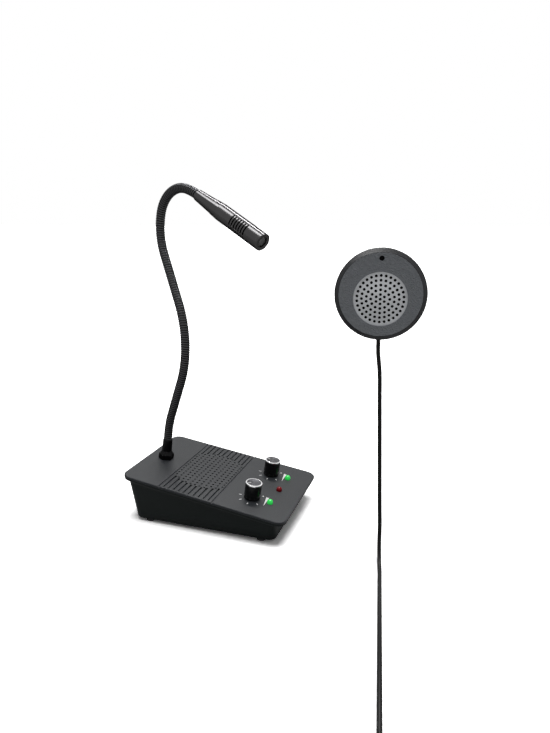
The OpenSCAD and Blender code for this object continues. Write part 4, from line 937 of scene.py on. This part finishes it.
@dataclass
class VolumeDial:
    """One volume control: its knob's turned cap and pointer, and the marks printed round it.

    The dish is the cap's middle as shares of its radius and height, from the rim to the axis.
    """

    side: str
    place: Place
    body: str
    pointer_turn: float
    knob_top: float = 16.5 * MM
    cap_sink: float = 0.4 * MM
    cap_radius: float = 7.3 * MM
    cap_height: float = 0.25 * MM
    cap_ease: float = 0.15 * MM
    ease_steps: int = 5
    dish: tuple[tuple[float, float], ...] = ((0.84, 1), (0.8, 0.75), (0.4, 0.72), (0, 0.72))
    pointer_start: float = 3.0 * MM
    pointer_length: float = 3.4 * MM
    pointer_half: float = 0.42 * MM
    pointer_lift: float = 0.175 * MM
    pointer_height: float = 0.3 * MM
    mark_ring: float = 12.0 * MM
    mark_length: float = 2.8 * MM
    mark_width: float = 0.75 * MM
    mark_hours: tuple[float, ...] = (7.5, 9, 10.5, 12, 1.5, 3)
    hour_turn: float = 30.0
    dot_radius: float = 0.75 * MM
    dot_hour: float = 4.5
    dot_sides: int = 20
    wedge_back: float = 13.2 * MM
    wedge_length: float = 16.8 * MM
    wedge_height: float = 2.8 * MM
    ink: float = 0.03 * MM

    def build(self) -> None:
        """Makes the cap, the pointer's inlay and the printed marks."""
        lift = self.knob_top - self.cap_sink
        top = self.place.moved((0, 0, lift)).turned(self.pointer_turn)
        self._cap(top)
        self._pointer(top)
        self._marks()

    def _cap(self, top: Place) -> None:
        """Makes the cap: a flat disc with a quarter-round edge and a shallow dish in its middle.

        Args:
            top: The cap's foot on the knob.
        """
        size = np.array([self.cap_radius, self.cap_height])
        a = np.linspace(0, math.pi / 2, self.ease_steps + 1)
        rim = size - self.cap_ease * np.stack([1 - np.cos(a), 1 - np.sin(a)], axis=1)
        foot = [[0, 0], [self.cap_radius, 0]]
        cap = lathe(f"{self.side}_knob_cap", top, np.concatenate([foot, rim, self.dish * size]))
        settle(cap, CAP.centred(top, self.side), self.body)

    def _pointer(self, top: Place) -> None:
        """Makes the white bar that the pointer's rib carries.

        Args:
            top: The cap's foot on the knob.
        """
        end = self.pointer_start + self.pointer_length
        outline = rounded_bar(self.pointer_half, self.pointer_start, end, steps=6)
        foot = top.moved((0, 0, self.pointer_lift))
        bar = prism(f"{self.side}_knob_pointer", foot, outline, self.pointer_height)
        settle(bar, PRINT, self.body)

    def _marks(self) -> None:
        """Prints the dial: a bar at each hour, a dot, and a wedge that grows to the right."""
        start = self.mark_ring - self.mark_length / 2
        bar = rounded_bar(self.mark_width / 2, start, start + self.mark_length, steps=3)
        shapes = [(self._at_hour(hour), bar) for hour in self.mark_hours]
        a = round_steps(self.dot_sides)
        circle = self.dot_radius * np.stack([np.cos(a), np.sin(a)], axis=1)
        shapes.append((self._at_hour(self.dot_hour).moved((0, self.mark_ring, 0)), circle))
        half, tall = self.wedge_length / 2, self.wedge_height / 2
        wedge = np.array([[-half, -tall], [half, -tall], [half, tall]])
        shapes.append((self.place.moved((0, -self.wedge_back, 0)), wedge))
        made = [prism("mark", place, outline, self.ink) for place, outline in shapes]
        settle(join(f"{self.side}_dial_print", made), PRINT, "root")

    def _at_hour(self, hour: float) -> Place:
        """Returns the dial's middle, turned towards an hour."""
        return self.place.turned(-self.hour_turn * hour)


@dataclass
class CounterUnit:
    """The sloped case on the counter, with its deck, speaker, controls, lamps and rear panel.

    The turns of the knobs' pointers and the rocker's lean at rest are in degrees.
    """

    frame: dict
    pointer_turns: tuple[tuple[str, float], ...] = (("left", 45.0), ("right", 0.0))
    rocker_lean: float = -1.2
    rocker_rise: float = 0.8 * MM
    rocker_half: float = 5.9 * MM
    mark_off: float = 3.1 * MM
    mark_lift: float = 3.54 * MM
    bar_half: float = 0.25 * MM
    bar_reach: float = 1.2 * MM
    ring_inner: float = 0.85 * MM
    ring_outer: float = 1.3 * MM
    ink: float = 0.03 * MM

    def build(self) -> None:
        """Dresses the case's nodes and adds the dials and the rocker's marks."""
        dress(self.frame, {
            "top_cover": DECK, "bottom_case": CASE, "rubber_feet": FEET, "case_screws": STEEL,
            "main_board": BOARD, "board_parts": CHIP, "inner_screws": STEEL,
            "speaker_frame": SPEAKER, "speaker_magnet": MAGNET, "speaker_cone": CONE,
            "speaker_cloth": CLOTH, "control_board": BOARD, "volume_pots": SPEAKER,
            "pot_nuts": STEEL, "green_lamps": GREEN, "red_lamp": RED, "power_socket": SOCKET,
            "unit_socket": SOCKET, "switch_frame": SOCKET, "switch_rocker": KNOB,
            "neck_nut": NECK_FOOT, "neck_ferrule": NECK_FOOT, "neck_stub": STEEL,
            "neck_lock_nut": STEEL})
        for side, turn in self.pointer_turns:
            dress(self.frame, {f"{side}_shaft": STEEL, f"{side}_knob": KNOB,
                               f"{side}_knob_ring": RING})
            joint = row_with(self.frame["joints"], "name", f"{side}_volume_turn")
            place = Place.facing(joint["pos_m"], joint["axis"], (0, 1, 0))
            VolumeDial(side, place, f"{side}_volume", turn).build()
        self._rocker_marks(row_with(self.frame["joints"], "name", "power_rocker_tilt"))

    def _rocker_marks(self, joint: dict) -> None:
        """Prints the bar and the ring that say on and off, on the rocker's two slanted halves.

        Args:
            joint: The rocker's joint.
        """
        out = turn_about(np.array([0, 1, 0]), np.array([1, 0, 0]), self.rocker_lean)
        pivot = Place.facing(joint["pos_m"], out, UP)
        slant = math.degrees(math.atan2(self.rocker_rise, self.rocker_half))
        upper, lower = (self._tilted(pivot, way, slant) for way in (1, -1))
        outline = rounded_bar(self.bar_half, -self.bar_reach, self.bar_reach, steps=3)
        bar = prism("rocker_bar", upper, outline, self.ink)
        settle(bar, PRINT, "power_rocker")
        inner, outer = self.ring_inner, self.ring_outer
        section = np.array([[inner, 0], [outer, 0], [outer, self.ink], [inner, self.ink]])
        ring = lathe("rocker_ring", lower, section, sides=32, loop=True, smooth=False)
        settle(ring, PRINT, "power_rocker")

    def _tilted(self, pivot: Place, way: int, slant: float) -> Place:
        """Returns the middle of one of the rocker's halves.

        Args:
            pivot: The rocker's pivot, facing out of the panel.
            way: 1 for the upper half, -1 for the lower.
            slant: Angle of a half to the panel, in degrees.

        Returns:
            The place, facing out of that half.
        """
        middle = pivot.moved((0, way * self.mark_off, self.mark_lift))
        out = turn_about(middle.out, middle.across, -way * slant)
        return Place.facing(middle.origin, out, middle.ahead)


# --- the microphone and outer unit


@dataclass
class Microphone:
    """The slotted barrel at the neck's end, with the dark lining that shows through its slots."""

    frame: dict
    neck: Gooseneck
    lining_start: float = 40.0 * MM
    lining_end: float = 73.5 * MM
    lining_radius: float = 6.15 * MM
    lining_wall: float = 0.4 * MM

    def build(self) -> None:
        """Dresses the microphone's nodes and adds the lining.

        The lining is a thin cloth tube under the slots: its wall's section, turned round the
        barrel's axis.
        """
        dress(self.frame, {"mic_sleeve": MIC, "mic_barrel": MIC, "mic_end_ring": MIC,
                           "mic_screen": SCREEN, "mic_capsule": CAPSULE})
        start, end = self.lining_start, self.lining_end
        outer, inner = self.lining_radius, self.lining_radius - self.lining_wall
        section = np.array([[outer, end], [outer, start], [inner, start], [inner, end]])
        lining = lathe("mic_lining", self.neck.end_place, section, sides=48, loop=True)
        settle(lining, CLOTH, "microphone")


@dataclass
class OuterUnit:
    """The round speaker unit for the far side of the window."""

    frame: dict
    opening_drop: float = 3.5 * MM

    def build(self) -> None:
        """Dresses the outer unit's nodes, with the grille's pattern round its own middle."""
        back = row_with(self.frame["record"]["mounts"], "name", "outer_unit_back")
        middle = Place.facing(back["pos_m"], -np.array(back["axis"]), UP)
        opening = middle.moved((0, -self.opening_drop, 0))
        dress(self.frame, {
            "outer_case": OUTER_CASE, "outer_cover": OUTER_FACE, "outer_cloth": CLOTH,
            "outer_speaker_frame": SPEAKER, "outer_speaker_magnet": MAGNET,
            "outer_speaker_cone": CONE, "outer_capsule": CLOTH, "outer_screws": STEEL,
            "adhesive_pad": FOAM, "cable_grommet": FEET,
            "outer_grille": GRILLE.centred(opening, "dome")})


# --- the picture


@dataclass(frozen=True)
class GlossLamp:
    """A rectangular lamp that shows only as a highlight on glossy pieces. Sizes are in metres."""

    name: str
    at: Triple
    width: float
    height: float
    watts: float
    aim: Triple = (-0.035, -0.03, 0.29)

    def hang(self) -> None:
        """Makes the lamp and turns it to its aim."""
        data = bpy.data.lights.new(self.name, "AREA")
        data.shape = "RECTANGLE"
        data.size, data.size_y = self.width, self.height
        data.energy = self.watts
        lamp = placed(self.name, data)
        lamp.visible_diffuse = False
        lamp.location = self.at
        out = np.array(self.at) - np.array(self.aim)
        lamp.rotation_euler = Place.facing(self.at, out, LAMP_AHEAD).euler()


@dataclass(frozen=True)
class Studio:
    """The camera, the pale floor and the soft light.

    The eye and the sensor are in millimetres, the floor in metres, angles in degrees, and the
    picture's focal length and height in pixels.
    """

    eye: Triple = (-501.9, -222.3, 288.6)
    yaw: float = 71.58
    pitch_down: float = 14.06
    focal_pixels: float = 582.5
    picture_height: float = 733
    sensor: float = 36.0
    floor_half: float = 30.0
    floor_grey: float = 2.0
    floor_gloss: float = 0.6
    floor_bounce: float = 0.25
    floor_lift: float = 0.02
    sky: float = 0.2
    sky_gloss: float = 0.85
    sun_strength: float = 2.5
    sun_spread: float = 30.0
    sun_from: Triple = (-0.12, -0.12, 1)
    gloss_lamps: tuple[GlossLamp, ...] = (
        GlossLamp("BackStrip", (0.51, 0.05, 1.12), width=0.09, height=0.7, watts=22.0),
        GlossLamp("TopBox", (-0.09, 0.22, 1.26), width=0.3, height=0.7, watts=9.0))

    def camera(self) -> None:
        """Sets the camera at the photograph's place, with its long side as the sensor's width."""
        data = bpy.data.cameras.new("Camera")
        data.sensor_width = self.sensor
        data.lens = self.focal_pixels / self.picture_height * self.sensor
        data.clip_start, data.clip_end = 0.01, 100
        camera = placed("Camera", data)
        camera.location = [v * MM for v in self.eye]
        camera.rotation_euler = (math.radians(90 - self.pitch_down), 0, -math.radians(self.yaw))
        bpy.context.scene.camera = camera

    def floor(self) -> None:
        """Lays the floor: white to the camera, pale in gloss, and dull in the light it throws."""
        h = self.floor_half
        points = np.array([[-h, -h, 0], [h, -h, 0], [h, h, 0], [-h, h, 0]], float)
        floor = new_piece("floor", points, [np.arange(4)], smooth=False)
        material = bpy.data.materials.new("FloorPaper")
        nodes = Nodes(material)
        greys = (self.floor_bounce, self.floor_gloss, self.floor_grey)
        dull, pale, paper = ((grey, grey, grey, 1) for grey in greys)
        shown = nodes.ray("Camera", "Glossy", "Transmission")
        nodes.fill("Principled BSDF", {
            "Base Color": nodes.mixed(nodes.ray("Camera"), nodes.mixed(shown, dull, pale), paper),
            "Roughness": 0.9,
            "Specular IOR Level": 0.0,
            "Emission Color": (1, 1, 1, 1),
            "Emission Strength": nodes.math("MULTIPLY", shown, self.floor_lift)})
        floor.data.materials.append(material)

    def world(self) -> None:
        """Sets the surroundings: white to the camera, pale in gloss, and faint as a light."""
        world = bpy.data.worlds.new("World")
        bpy.context.scene.world = world
        nodes = Nodes(world)
        gloss = nodes.spread(nodes.ray("Glossy", "Transmission"), self.sky, self.sky_gloss)
        strength = nodes.math("MAXIMUM", gloss, nodes.ray("Camera"))
        nodes.fill("Background", {"Color": (1, 1, 1, 1), "Strength": strength})

    def sun(self) -> None:
        """Hangs one broad, even light over everything."""
        data = bpy.data.lights.new("Overhead", "SUN")
        data.energy, data.angle = self.sun_strength, math.radians(self.sun_spread)
        lamp = placed("Overhead", data)
        lamp.visible_glossy = False
        lamp.rotation_euler = Place.facing(np.zeros(3), self.sun_from, LAMP_AHEAD).euler()

    def build(self) -> None:
        """Sets the floor, the world and the lamps."""
        bpy.context.scene.view_settings.view_transform = "Standard"
        self.floor()
        self.world()
        self.sun()
        for lamp in self.gloss_lamps:
            lamp.hang()


def main() -> None:
    """Loads the frame, then builds the picture, the cable and each sub-assembly in order."""
    logging.basicConfig(level=logging.INFO, format="%(name)s: %(message)s")
    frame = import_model()
    studio = Studio()
    studio.camera()
    neck = Gooseneck(frame)
    for assembly in (SignalCable(frame), neck, CounterUnit(frame), Microphone(frame, neck),
                     OuterUnit(frame)):
        assembly.build()
    studio.build()


if __name__ == "__main__":
    main()
